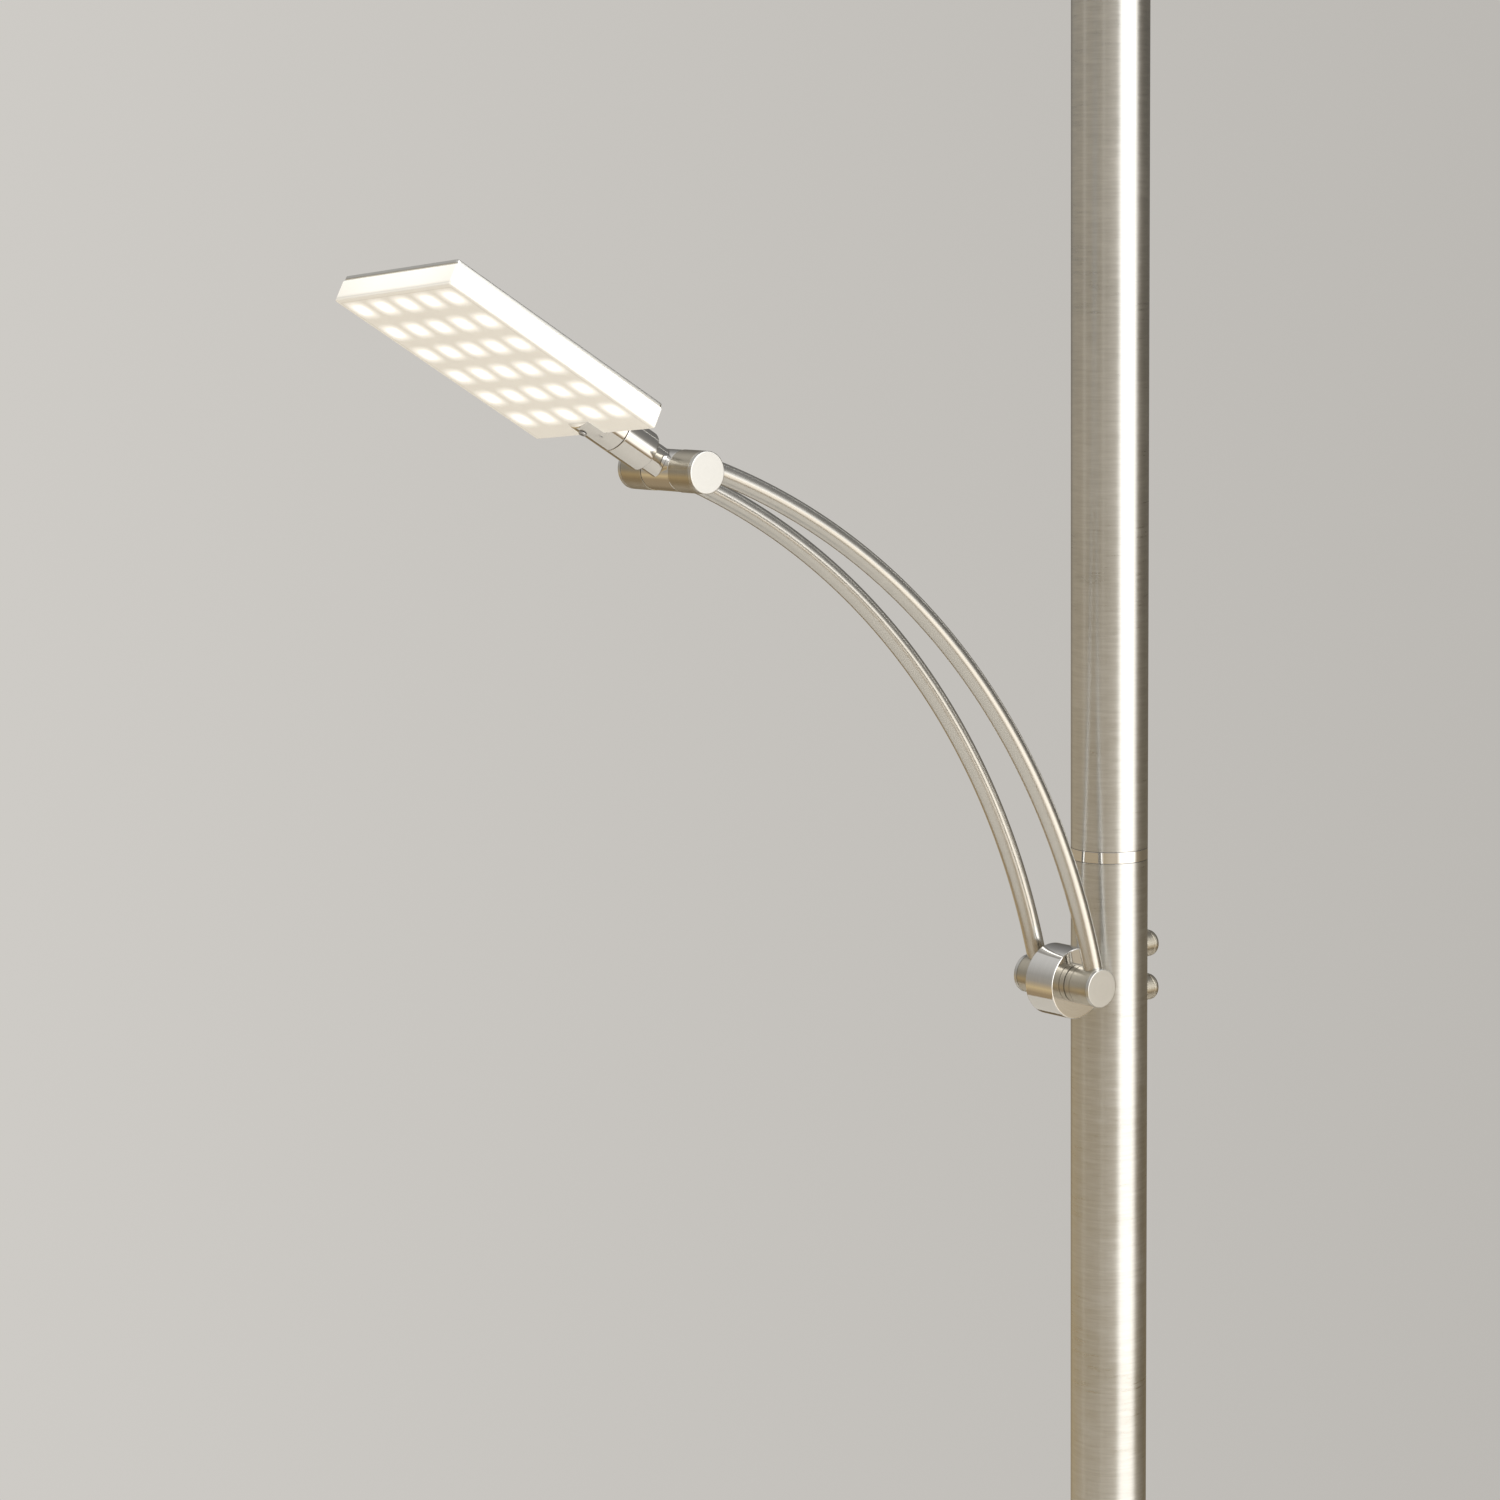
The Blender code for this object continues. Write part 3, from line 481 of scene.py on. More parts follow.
def maths(tree, operation, *values, clamp=False):
    """The result of a Math node."""
    return add(tree, "ShaderNodeMath", dict(enumerate(values)), operation=operation,
               use_clamp=clamp).outputs[0]


def plus(tree, first, second):
    """The sum of two values."""
    return maths(tree, "ADD", first, second)


def less(tree, first, second):
    """The first value less the second."""
    return maths(tree, "SUBTRACT", first, second)


def times(tree, first, second):
    """The product of two values."""
    return maths(tree, "MULTIPLY", first, second)


def spread(tree, value, start, end, low_value, high_value, smooth=False):
    """A value carried from one range to another and held at its ends."""
    made = add(tree, "ShaderNodeMapRange", {0: value, 1: start, 2: end, 3: low_value, 4: high_value},
               interpolation_type="SMOOTHSTEP" if smooth else "LINEAR")
    return made.outputs[0]


def blend(tree, share, first, second):
    """A mix of two colours."""
    return add(tree, "ShaderNodeMix", {"Factor": share, "A": first, "B": second},
               data_type="RGBA").outputs["Result"]


def scaled(tree, where, scale):
    """Coordinates stretched along each axis."""
    return add(tree, "ShaderNodeMapping", {"Vector": where, "Scale": scale}).outputs["Vector"]


def noise(tree, where, scale, detail=3.0, roughness=0.55):
    """Noise between 0 and 1."""
    values = {"Vector": where, "Scale": scale, "Detail": detail, "Roughness": roughness}
    return add(tree, "ShaderNodeTexNoise", values).outputs[0]


def start(name, marks):
    """A new material's tree, its shader and its coordinates: the piece's marks, or its own place."""
    made = bpy.data.materials.new(name)
    made.use_nodes = True
    tree = made.node_tree
    if marks:
        where = add(tree, "ShaderNodeAttribute", attribute_name="marks").outputs["Vector"]
    else:
        where = add(tree, "ShaderNodeTexCoord").outputs["Object"]
    return made, tree, tree.nodes["Principled BSDF"], where


def relief(tree, shader, height, depth, strength=1.0):
    """Bump of that depth in metres."""
    bump = add(tree, "ShaderNodeBump", {"Strength": strength, "Distance": depth, "Height": height})
    tree.links.new(bump.outputs[0], shader.inputs["Normal"])


def shaded(colour, factor):
    """A colour made darker or lighter, with its alpha."""
    return (*(min(1.0, part * factor) for part in colour), 1.0)


def metal(name, colour, roughness, grain, depth, variety, marks=True, brushed=0.0):
    """Metal with brush lines round the piece, faint clouding, and roughness that follows both.

    Brushed above 0 stretches its highlights across the brush lines. A depth of 0 leaves it smooth.
    """
    made, tree, shader, where = start(name, marks)
    stretch = (1 / grain, 60.0, 60.0) if marks else (60.0, 60.0, 1 / grain)
    lines = noise(tree, scaled(tree, where, stretch), 1.0, 4.0, 0.65)
    cloud = noise(tree, where, 16.0, 2.0)
    shade = plus(tree, times(tree, lines, 0.65), times(tree, cloud, 0.35))
    tree.links.new(blend(tree, spread(tree, shade, 0.32, 0.68, 0.0, 1.0), shaded(colour, 1 - variety),
                         shaded(colour, 1 + variety)), shader.inputs["Base Color"])
    tree.links.new(spread(tree, shade, 0.3, 0.7, roughness * (1 - 2.2 * variety),
                          roughness * (1 + 2.4 * variety)), shader.inputs["Roughness"])
    shader.inputs["Metallic"].default_value = 1.0
    if brushed and marks:
        shader.inputs["Anisotropic"].default_value = brushed
        shader.inputs["Anisotropic Rotation"].default_value = 0.25
        grain_line = add(tree, "ShaderNodeTangent", direction_type="UV_MAP", uv_map="around_and_along")
        tree.links.new(grain_line.outputs[0], shader.inputs["Tangent"])
    if depth:
        relief(tree, shader, lines, depth)
    return made


def brushed_nickel(name, marks):
    """Fine brush lines across the length of the piece."""
    setting = bpy.context.scene
    return metal(name, setting.lamp_colours.nickel, 0.33, setting.lamp_sizes.grain, 0.000003, 0.13, marks,
                 brushed=0.8)


def fine_nickel(name, marks):
    """A finer brushing for the short turned pieces."""
    setting = bpy.context.scene
    return metal(name, setting.lamp_colours.fine, 0.30, setting.lamp_sizes.grain * 0.4, 0.0000005, 0.06,
                 marks, brushed=0.5)


def satin_nickel(name, marks):
    """A closer, smoother brushing for the arm's rods."""
    setting = bpy.context.scene
    return metal(name, setting.lamp_colours.satin, 0.24, setting.lamp_sizes.grain * 4, 0.0, 0.03, marks)


def faced_nickel(name, marks):
    """Nickel with its end face turned flat and left plain, without a direction to its brushing."""
    setting = bpy.context.scene
    return metal(name, setting.lamp_colours.nickel, 0.32, setting.lamp_sizes.grain, 0.0000006, 0.03, marks)


def polished_chrome(name, marks):
    """Bright plating with faint polishing lines and dull patches."""
    return metal(name, bpy.context.scene.lamp_colours.chrome, 0.075, 0.0009, 0.0000012, 0.035, marks)


def plain_steel(name, marks):
    """Zinc-bright turned steel."""
    return metal(name, bpy.context.scene.lamp_colours.steel, 0.36, 0.0006, 0.00001, 0.12, marks)


def sink_aluminium(name, marks):
    """Sanded aluminium."""
    return metal(name, bpy.context.scene.lamp_colours.aluminium, 0.45, 0.0008, 0.00001, 0.08, marks)


def grained(name, colour, roughness, scale, depth, variety, marks, sheen=0.0):
    """A non-metal with a fine grain in its colour, roughness and relief."""
    made, tree, shader, where = start(name, marks)
    fine = noise(tree, where, scale, 5.0, 0.6)
    broad = noise(tree, where, scale * 0.06, 2.0)
    shade = plus(tree, times(tree, fine, 0.6), times(tree, broad, 0.4))
    tree.links.new(blend(tree, spread(tree, shade, 0.3, 0.7, 0.0, 1.0), shaded(colour, 1 - variety),
                         shaded(colour, 1 + variety)), shader.inputs["Base Color"])
    tree.links.new(spread(tree, fine, 0.3, 0.7, roughness * 0.85, min(1.0, roughness * 1.15)),
                   shader.inputs["Roughness"])
    shader.inputs["Sheen Weight"].default_value = sheen
    relief(tree, shader, fine, depth)
    return made


def felt(name, marks):
    """Matted fibres under the base."""
    return grained(name, bpy.context.scene.lamp_colours.dark, 0.9, 900.0, 0.0003, 0.35, marks, sheen=0.4)


def rubber(name, marks):
    """Soft matt rubber."""
    return grained(name, bpy.context.scene.lamp_colours.dark, 0.6, 1400.0, 0.00003, 0.15, marks)


def cast_weight(name, marks):
    """The rough skin of a casting."""
    return grained(name, bpy.context.scene.lamp_colours.dark, 0.75, 260.0, 0.0004, 0.3, marks)


def white_plastic(name, marks):
    """Moulded plastic with a fine spark-eroded skin."""
    return grained(name, bpy.context.scene.lamp_colours.pale, 0.45, 1800.0, 0.00002, 0.04, marks)


def cable_sheath(name, marks):
    """The smooth outer sheath of a lead."""
    return grained(name, bpy.context.scene.lamp_colours.pale, 0.35, 500.0, 0.00001, 0.06, marks)


def circuit_board(name, marks):
    """White lacquered board with a faint weave beneath."""
    return grained(name, bpy.context.scene.lamp_colours.pale, 0.4, 1100.0, 0.00002, 0.08, marks)


def opal_acrylic(name, marks):
    """The uplighter's opal lens, faintly lit from below, a little brighter towards its middle."""
    colours = bpy.context.scene.lamp_colours
    made, tree, shader, where = start(name, marks)
    cloud = noise(tree, where, 30.0, 3.0)
    tree.links.new(blend(tree, cloud, shaded(colours.diffuser, 0.60), shaded(colours.diffuser, 0.65)),
                   shader.inputs["Base Color"])
    tree.links.new(spread(tree, cloud, 0.3, 0.7, 0.24, 0.34), shader.inputs["Roughness"])
    shader.inputs["Emission Color"].default_value = shaded(colours.light, 1.0)
    flat = add(tree, "ShaderNodeVectorMath", {0: where, 1: (0.0, 1.0, 1.0)}, operation="MULTIPLY")
    reach = add(tree, "ShaderNodeVectorMath", {0: flat.outputs[0]}, operation="LENGTH").outputs["Value"]
    tree.links.new(spread(tree, reach, 0.02, 0.13, 0.16, 0.04, smooth=True),
                   shader.inputs["Emission Strength"])
    relief(tree, shader, cloud, 0.000002)
    return made


def clear_acrylic(name, marks):
    """The head's lit tray: soft bright spots under the LEDs, brighter side walls, a fine wall line.

    With u and v the place inside one LED's cell, the spot's distance is (|u|^3 + |v|^3)^(1/3), a
    rounded square. The marks are the place along, across and up the panel.
    """
    colours, sizes = bpy.context.scene.lamp_colours, bpy.context.scene.lamp_sizes
    made, tree, shader, where = start(name, marks)
    along, across, up = add(tree, "ShaderNodeSeparateXYZ", {0: where}).outputs
    aside = maths(tree, "ABSOLUTE", across)

    def cell(value, middle, pitch, count):
        """Distance from the nearest LED along one direction, held at the outermost LEDs."""
        shifted = plus(tree, maths(tree, "DIVIDE", less(tree, value, middle), pitch), (count - 1) / 2)
        near = maths(tree, "ROUND", shifted)
        near = maths(tree, "MINIMUM", maths(tree, "MAXIMUM", near, 0.0), count - 1.0)
        return maths(tree, "ABSOLUTE", times(tree, less(tree, shifted, near), pitch))

    first = maths(tree, "POWER", cell(along, LED_MIDDLE, LED_ROW_PITCH, LED_ROWS), 3.0)
    second = maths(tree, "POWER", cell(across, 0.0, LED_COLUMN_PITCH, LED_COLUMNS), 3.0)
    reach = maths(tree, "POWER", plus(tree, first, second), 1 / 3)
    spot = spread(tree, reach, sizes.light_spot - sizes.light_blur / 2,
                  sizes.light_spot + sizes.light_blur / 2, 1.0, 0.0, smooth=True)
    halo = spread(tree, reach, sizes.light_spot, sizes.light_spot + 0.0050, 1.0, 0.0, smooth=True)
    above = spread(tree, up, PANEL_LOW + 0.0004, PANEL_LOW + 0.0012, 0.0, 1.0, smooth=True)
    inset = maths(tree, "MINIMUM", less(tree, PANEL_HALF_W, aside), less(tree, PANEL_FRONT, along))
    wall_line = spread(tree, maths(tree, "ABSOLUTE", less(tree, inset, 0.0024)),
                       0.00012, 0.0004, 0.10, 0.0, smooth=True)
    bottom = plus(tree, times(tree, halo, colours.halo_glow), times(tree, spot, colours.spot_glow))
    bottom = less(tree, plus(tree, bottom, colours.gap_glow), wall_line)

    # The front wall is dimmer than the long ones, most so along its lower lip and at its corners.
    tip = spread(tree, along, PANEL_FRONT - 0.0012, PANEL_FRONT - 0.0004, 0.0, 1.0, smooth=True)
    away = less(tree, 1.0, tip)
    front = times(tree, spread(tree, aside, PANEL_HALF_W * 0.3, PANEL_HALF_W, 0.46, 0.36, smooth=True),
                  spread(tree, up, PANEL_LOW + 0.0008, PANEL_LOW + 0.0026, 0.3, 1.0, smooth=True))
    sides = spread(tree, along, PANEL_REAR, PANEL_REAR + 0.04, 0.50, 0.86, smooth=True)
    wall = plus(tree, times(tree, sides, away), times(tree, front, tip))
    strength = plus(tree, times(tree, bottom, less(tree, 1.0, above)), times(tree, above, wall))
    tree.links.new(strength, shader.inputs["Emission Strength"])
    white = maths(tree, "MAXIMUM", spot, times(tree, above, away), clamp=True)
    tree.links.new(blend(tree, white, shaded(colours.light, 1.0), (1.0, 0.99, 0.96, 1.0)),
                   shader.inputs["Emission Color"])
    cloud = noise(tree, where, 60.0, 2.0)
    tree.links.new(blend(tree, cloud, shaded(colours.diffuser, 0.96), shaded(colours.diffuser, 1.03)),
                   shader.inputs["Base Color"])
    tree.links.new(spread(tree, cloud, 0.3, 0.7, 0.16, 0.24), shader.inputs["Roughness"])
    relief(tree, shader, cloud, 0.00001)
    return made


def pale_floor(name, marks):
    """Plain matt floor."""
    return grained(name, bpy.context.scene.lamp_studio.floor, 0.7, 40.0, 0.0001, 0.015, marks)


def finished(finish, marks=True):
    """The material of a finish, made once."""
    name = f"{finish}_turned" if marks else f"{finish}_inner"
    return bpy.data.materials.get(name) or globals()[finish](name, marks)


# ---------------------------------------------------------------- operators

class MakePole(bpy.types.Operator):
    """Make the pole's three brushed tubes and the two rings between them"""

    bl_idname = "lamp.make_pole"
    bl_label = "Make pole"

    def execute(self, context):
        edge = context.scene.lamp_sizes.edge
        tube = (0.0, edge * 0.3, "brushed_nickel")
        ring = (SEAT_GAP / 3, edge * 0.35, "polished_chrome")
        kinds = {"lower_tube": tube, "middle_tube": tube, "upper_tube": tube, "joint_ring_low": ring,
                 "joint_ring_high": ring}
        for name, (over, cut, finish) in kinds.items():
            bottom, top = span(name)
            piece(f"pole_{name}", [pipe(top[0], top[0] - TUBE_WALL, bottom[2] - over, top[2] + over, cut)],
                  finish, "stand", name)
        return {"FINISHED"}


class MakeBase(bpy.types.Operator):
    """Make the spun base cover, its felt pad, the collar round the pole and the lead's gland"""

    bl_idname = "lamp.make_base"
    bl_label = "Make base"

    def execute(self, context):
        edge = context.scene.lamp_sizes.edge
        bottom, top = span("base_cover")
        rounding = 0.004
        corners = [(top[0], bottom[2]), (top[0], top[2]), (POLE_HOLE, top[2]), (POLE_HOLE, top[2] - SHEET),
                   (top[0] - SHEET, top[2] - SHEET), (top[0] - SHEET, bottom[2])]
        cuts = [edge, rounding, edge * 0.5, edge * 0.5, rounding - SHEET, edge]
        piece("base_shell", [turned(outline(corners, cuts, ring=True, steps=10), ring=True)],
              "brushed_nickel", "stand", "base_cover")
        pad = high("base_pad")
        piece("base_felt", [turned(outline([(0, 0), (pad[0], 0), (pad[0], pad[2]), (0, pad[2])],
                                           [0, 0.0006, 0.0006, 0]))], "felt", "stand", "base_pad")
        bottom, top = span("foot_collar")
        corners = [(POLE_HOLE, bottom[2]), (top[0], bottom[2]), (top[0], top[2]), (POLE_HOLE, top[2])]
        path = outline(corners, [edge, edge, 0.0016, edge], ring=True)
        piece("pole_foot_collar", [turned(path, ring=True)], "polished_chrome", "stand", "foot_collar")
        bottom, top = span("lead_gland")
        flange, height = (top[2] - bottom[2]) / 2, (top[2] + bottom[2]) / 2
        lead, stem, lip = 0.0030, 0.0044, 0.0020
        corners = [(lead, bottom[0]), (stem, bottom[0]), (stem, top[0] - lip),
                   (flange, top[0] - lip), (flange - 0.0006, top[0]), (lead, top[0])]
        piece("gland", [turned(outline(corners, edge * 0.8, ring=True), (0, 0, height), X, Y, True)],
              "rubber", "stand", "lead_gland")
        return {"FINISHED"}


class MakeHub(bpy.types.Operator):
    """Make the hub that is saddled to the pole, and the spacers beside it"""

    bl_idname = "lamp.make_hub"
    bl_label = "Make hub"

    def execute(self, context):
        centre, edge = bar_centre("lower"), context.scene.lamp_sizes.edge
        bottom, top = span("arm_hub")
        radius, half = (top[2] - bottom[2]) / 2, top[1]
        saddle = high("middle_tube")[0] + SEAT_GAP / 3
        corners = [(AXLE_BORE, -half), (radius, -half), (radius, half), (AXLE_BORE, half)]
        points, marks, ring = turned(outline(corners, [edge, edge * 1.6, edge * 1.6, edge], ring=True),
                                     centre, Y, X, True)
        # Each point draws back along its spoke until it is outside the pole: the spoke's reach is
        # (distance between the axes - sqrt(saddle^2 - y^2)) / cos t.
        spoke = points - centre
        reach = np.hypot(spoke[..., 0], spoke[..., 2])
        room = -centre[0] - np.sqrt(saddle ** 2 - spoke[..., 1] ** 2)
        share = np.clip(room / np.maximum(spoke[..., 0], 1e-9), AXLE_BORE / reach, 1.0)
        share = np.where(spoke[..., 0] > 0, share, 1.0)
        points = centre + spoke * np.stack([share, np.ones_like(share), share], axis=-1)
        piece("hub_drum", [(points, marks, ring)], "polished_chrome", "stand", "arm_hub")
        for side in FRONT_BACK:
            name = f"hub_spacer_{side}"
            bottom, top = span(name)
            piece(f"{name}_ring", [pipe((top[2] - bottom[2]) / 2, AXLE_BORE, bottom[1], top[1], edge * 0.6,
                                        base=centre * (1, 0, 1), axis=Y, across=X)],
                  "fine_nickel", "stand", name)
        return {"FINISHED"}


class MakeCrossbars(bpy.types.Operator):
    """Make the sleeves and end caps of both crossbars"""

    bl_idname = "lamp.make_crossbars"
    bl_label = "Make crossbars"

    def execute(self, context):
        edge = context.scene.lamp_sizes.edge
        hollow, web, spigot, slack, lap = 0.0075, 0.0040, 0.0030, 0.0004, 0.0002
        for level in ("lower", "upper"):
            base = bar_centre(level) * (1, 0, 1)
            for side, sign in FRONT_BACK.items():
                sleeve, cap = f"{level}_sleeve_{side}", f"{level}_cap_{side}"
                ends = np.abs([low(sleeve)[1], high(sleeve)[1]])
                inner, outer = ends.min(), ends.max()
                radius = (high(sleeve)[2] - low(sleeve)[2]) / 2
                tip = np.abs([low(cap)[1], high(cap)[1]]).max()
                corners = [(AXLE_BORE, inner), (radius, inner), (radius, outer), (hollow, outer),
                           (hollow, inner + web), (AXLE_BORE, inner + web)]
                path = outline(corners, edge * 0.6, ring=True)
                piece(f"{sleeve}_skin", [turned(path, base, Y * sign, X, ring=True)],
                      "fine_nickel", "arm", sleeve)
                corners = [(0, outer - spigot), (hollow - slack, outer - spigot),
                           (hollow - slack, outer + lap), (radius, outer + lap), (radius, tip), (0, tip)]
                path = outline(corners, [0, edge, 0.0001, 0.0001, edge * 1.2, 0])
                piece(f"{cap}_skin", [turned(path, base, Y * sign, X)], "faced_nickel", "arm", cap)
        return {"FINISHED"}


class MakeRods(bpy.types.Operator):
    """Make the arm's two curved rods, saddled to both crossbars"""

    bl_idname = "lamp.make_rods"
    bl_label = "Make arm rods"

    def execute(self, context):
        radius = (high("lower_sleeve_front")[2] - low("lower_sleeve_front")[2]) / 2 + 0.00003
        angle = 2 * np.pi * np.arange(64) / 64
        closing = np.linspace(0, 1, 9)
        share = np.concatenate([np.zeros(9), np.linspace(0, 1, 121)[1:-1], np.ones(9)])[:, None]
        size = np.concatenate([closing, np.ones(119), closing[::-1]])[:, None] * ROD_R
        # A point at radius q from the circle's centre meets a crossbar of radius r whose axis is D away
        # where cos(a - bar's angle) = (D^2 + q^2 - r^2) / (2 D q).
        reach = ARC_R + size * np.cos(angle)
        ends = []
        for level, sign in (("lower", 1), ("upper", -1)):
            away = bar_centre(level) - ARC_CENTRE
            distance = math.hypot(away[0], away[2])
            swing = np.arccos((distance ** 2 + reach ** 2 - radius ** 2) / (2 * distance * reach))
            ends.append(math.atan2(away[2], away[0]) + sign * swing)
        sweep = ends[0] * (1 - share) + ends[1] * share
        for side, sign in FRONT_BACK.items():
            y = sign * ROD_Y + size * np.sin(angle)
            points = ARC_CENTRE + np.stack([reach * np.cos(sweep), y, reach * np.sin(sweep)], axis=-1)
            marks = np.stack([sweep * ARC_R, size * np.cos(angle), size * np.sin(angle)], axis=-1)
            piece(f"rod_{side}", [(points, marks, False)], "satin_nickel", "arm", f"arm_rod_{side}")
        return {"FINISHED"}


class MakeHeadJoint(bpy.types.Operator):
    """Make the knuckle, the turned socket and the slotted fork that grips the panel"""

    bl_idname = "lamp.make_head_joint"
    bl_label = "Make head joint"

    def execute(self, context):
        edge, centre = context.scene.lamp_sizes.edge, bar_centre("upper")
        straight, rolled = head_axes(0.0), head_axes(HEAD_ROLL)
        bottom, top = span("head_knuckle")
        piece("knuckle_barrel", [pipe(KNUCKLE_R, AXLE_BORE, bottom[1], top[1], edge, base=centre * (1, 0, 1),
                                      axis=Y, across=X)], "polished_chrome", "head_joint", "head_knuckle")
        corners = [(0, NECK_START), (NECK_R, NECK_START), (NECK_R, NECK_END - 0.0008), (SOCKET_R, NECK_END),
                   (SOCKET_R, SOCKET_END), (0, SOCKET_END)]
        path = outline(corners, [0, 0.0002, 0.0010, 0.0007, edge, 0])
        # The neck's hidden end is a row of rings, so that it can bend round the knuckle.
        root = np.stack([np.linspace(0, NECK_R, 12)[:-1], np.full(11, NECK_START)], axis=1)
        path = np.concatenate([root, path[path[:, 0] > NECK_R * 0.97], [[0.0, SOCKET_END]]])
        points, marks, _ = turned(path, (0, 0, 0), X, Y)
        # The neck starts on the knuckle, at a length of sqrt((knuckle's radius + gap)^2 - height^2).
        seat = np.sqrt(np.maximum((KNUCKLE_R + 0.0001) ** 2 - points[..., 2] ** 2, 0.0))
        points[..., 0] = np.maximum(points[..., 0], seat)
        points = centre * (1, 0, 1) + points @ straight
        piece("socket_barrel", [(points, marks, False)], "polished_chrome", "head_joint", "swivel_socket")

        cup, depth = 0.0083, FORK_START + 0.0021
        corners = [(0, depth), (cup, depth), (cup, FORK_START), (SOCKET_R, FORK_START),
                   (SOCKET_R, PANEL_REAR - SEAT_GAP), (0, PANEL_REAR - SEAT_GAP)]
        path = outline(corners, [0, 0.0003, 0.0003, edge, 0.0002, 0])
        shells = [turned(path, centre * (1, 0, 1), rolled[0], rolled[1])]
        for side, chord in ((1, PANEL_TOP + 0.0001), (-1, 0.0001 - PANEL_LOW)):
            shells.append(jaw(SOCKET_R, chord, side, PANEL_REAR - SEAT_GAP - 0.0010, FORK_END, edge,
                              centre * (1, 0, 1), rolled))
        piece("fork_jaws", shells, "polished_chrome", "head", "head_fork")
        seat, shank, head, drive, rise = SOCKET_R + 0.0001, 0.0010, 0.0019, 0.0008, 0.0008
        corners = [(0, seat - rise), (shank, seat - rise), (shank, seat), (head, seat), (head, seat + rise),
                   (drive, seat + rise + 0.0001), (drive, seat + 0.0003), (0, seat + 0.0003)]
        path = outline(corners, [0, 0.0001, 0.0001, 0.0001, 0.0005, 0.0001, 0.0001, 0])
        base = centre * (1, 0, 1) + rolled[0] * SCREW_PLACE
        for name, side in (("fork_screw_top", 1), ("fork_screw_under", -1)):
            piece(f"{name}_head", [turned(path, base, rolled[2] * side, rolled[0])],
                  "plain_steel", "head", name)
        return {"FINISHED"}


class MakePanel(bpy.types.Operator):
    """Make the head's metal plate and the lit tray under it"""

    bl_idname = "lamp.make_panel"
    bl_label = "Make head panel"

    def execute(self, context):
        sizes = context.scene.lamp_sizes
        centre, axes = bar_centre("upper") * (1, 0, 1), head_axes(HEAD_ROLL)
        half = PANEL_HALF_W - PLATE_INSET
        piece("head_plate", [slab((PANEL_REAR, -half, PLATE_LOW), (PANEL_FRONT, half, PANEL_TOP),
                                  sizes.panel_corner, 0.0005, centre, axes)],
              "faced_nickel", "head", "panel_plate")
        piece("head_tray", [slab((PANEL_REAR, -PANEL_HALF_W, PANEL_LOW),
                                 (PANEL_FRONT, PANEL_HALF_W, PLATE_LOW - 0.0002),
                                 sizes.panel_corner, 0.0008, centre, axes)],
              "clear_acrylic", "head", "panel_diffuser", "led_board")
        return {"FINISHED"}


class MakeKnobs(bpy.types.Operator):
    """Make the two dimmers' knobs on the pole's side"""

    bl_idname = "lamp.make_knobs"
    bl_label = "Make dimmer knobs"

    def execute(self, context):
        edge = context.scene.lamp_sizes.edge
        pole = high("middle_tube")[0]
        for level in ("upper", "lower"):
            name = f"knob_{level}"
            bottom, top = span(name)
            radius, height = (top[2] - bottom[2]) / 2, (top[2] + bottom[2]) / 2
            dome, begin, groove = 0.0045, pole + 0.0006, 0.0003
            rise, shoulder = np.linspace(0, np.pi / 2, 16)[1:], top[0] - dome
            skirt = outline([(0, begin), (radius, begin), (radius, shoulder - 0.0010 - 2 * groove),
                             (radius - groove, shoulder - 0.0010 - groove), (radius, shoulder - 0.0010),
                             (radius, shoulder)], [0, edge, 0.0001, 0.0001, 0.0001, 0])
            # Dome: r = radius cos a, x = shoulder + dome sin a.
            cap = np.stack([radius * np.cos(rise), shoulder + dome * np.sin(rise)], axis=1)
            cap[-1, 0] = 0.0
            piece(f"dimmer_{name}", [turned(np.concatenate([skirt, cap]), (0, 0, height), X, Y)],
                  "fine_nickel", f"{level}_knob", name)
        return {"FINISHED"}


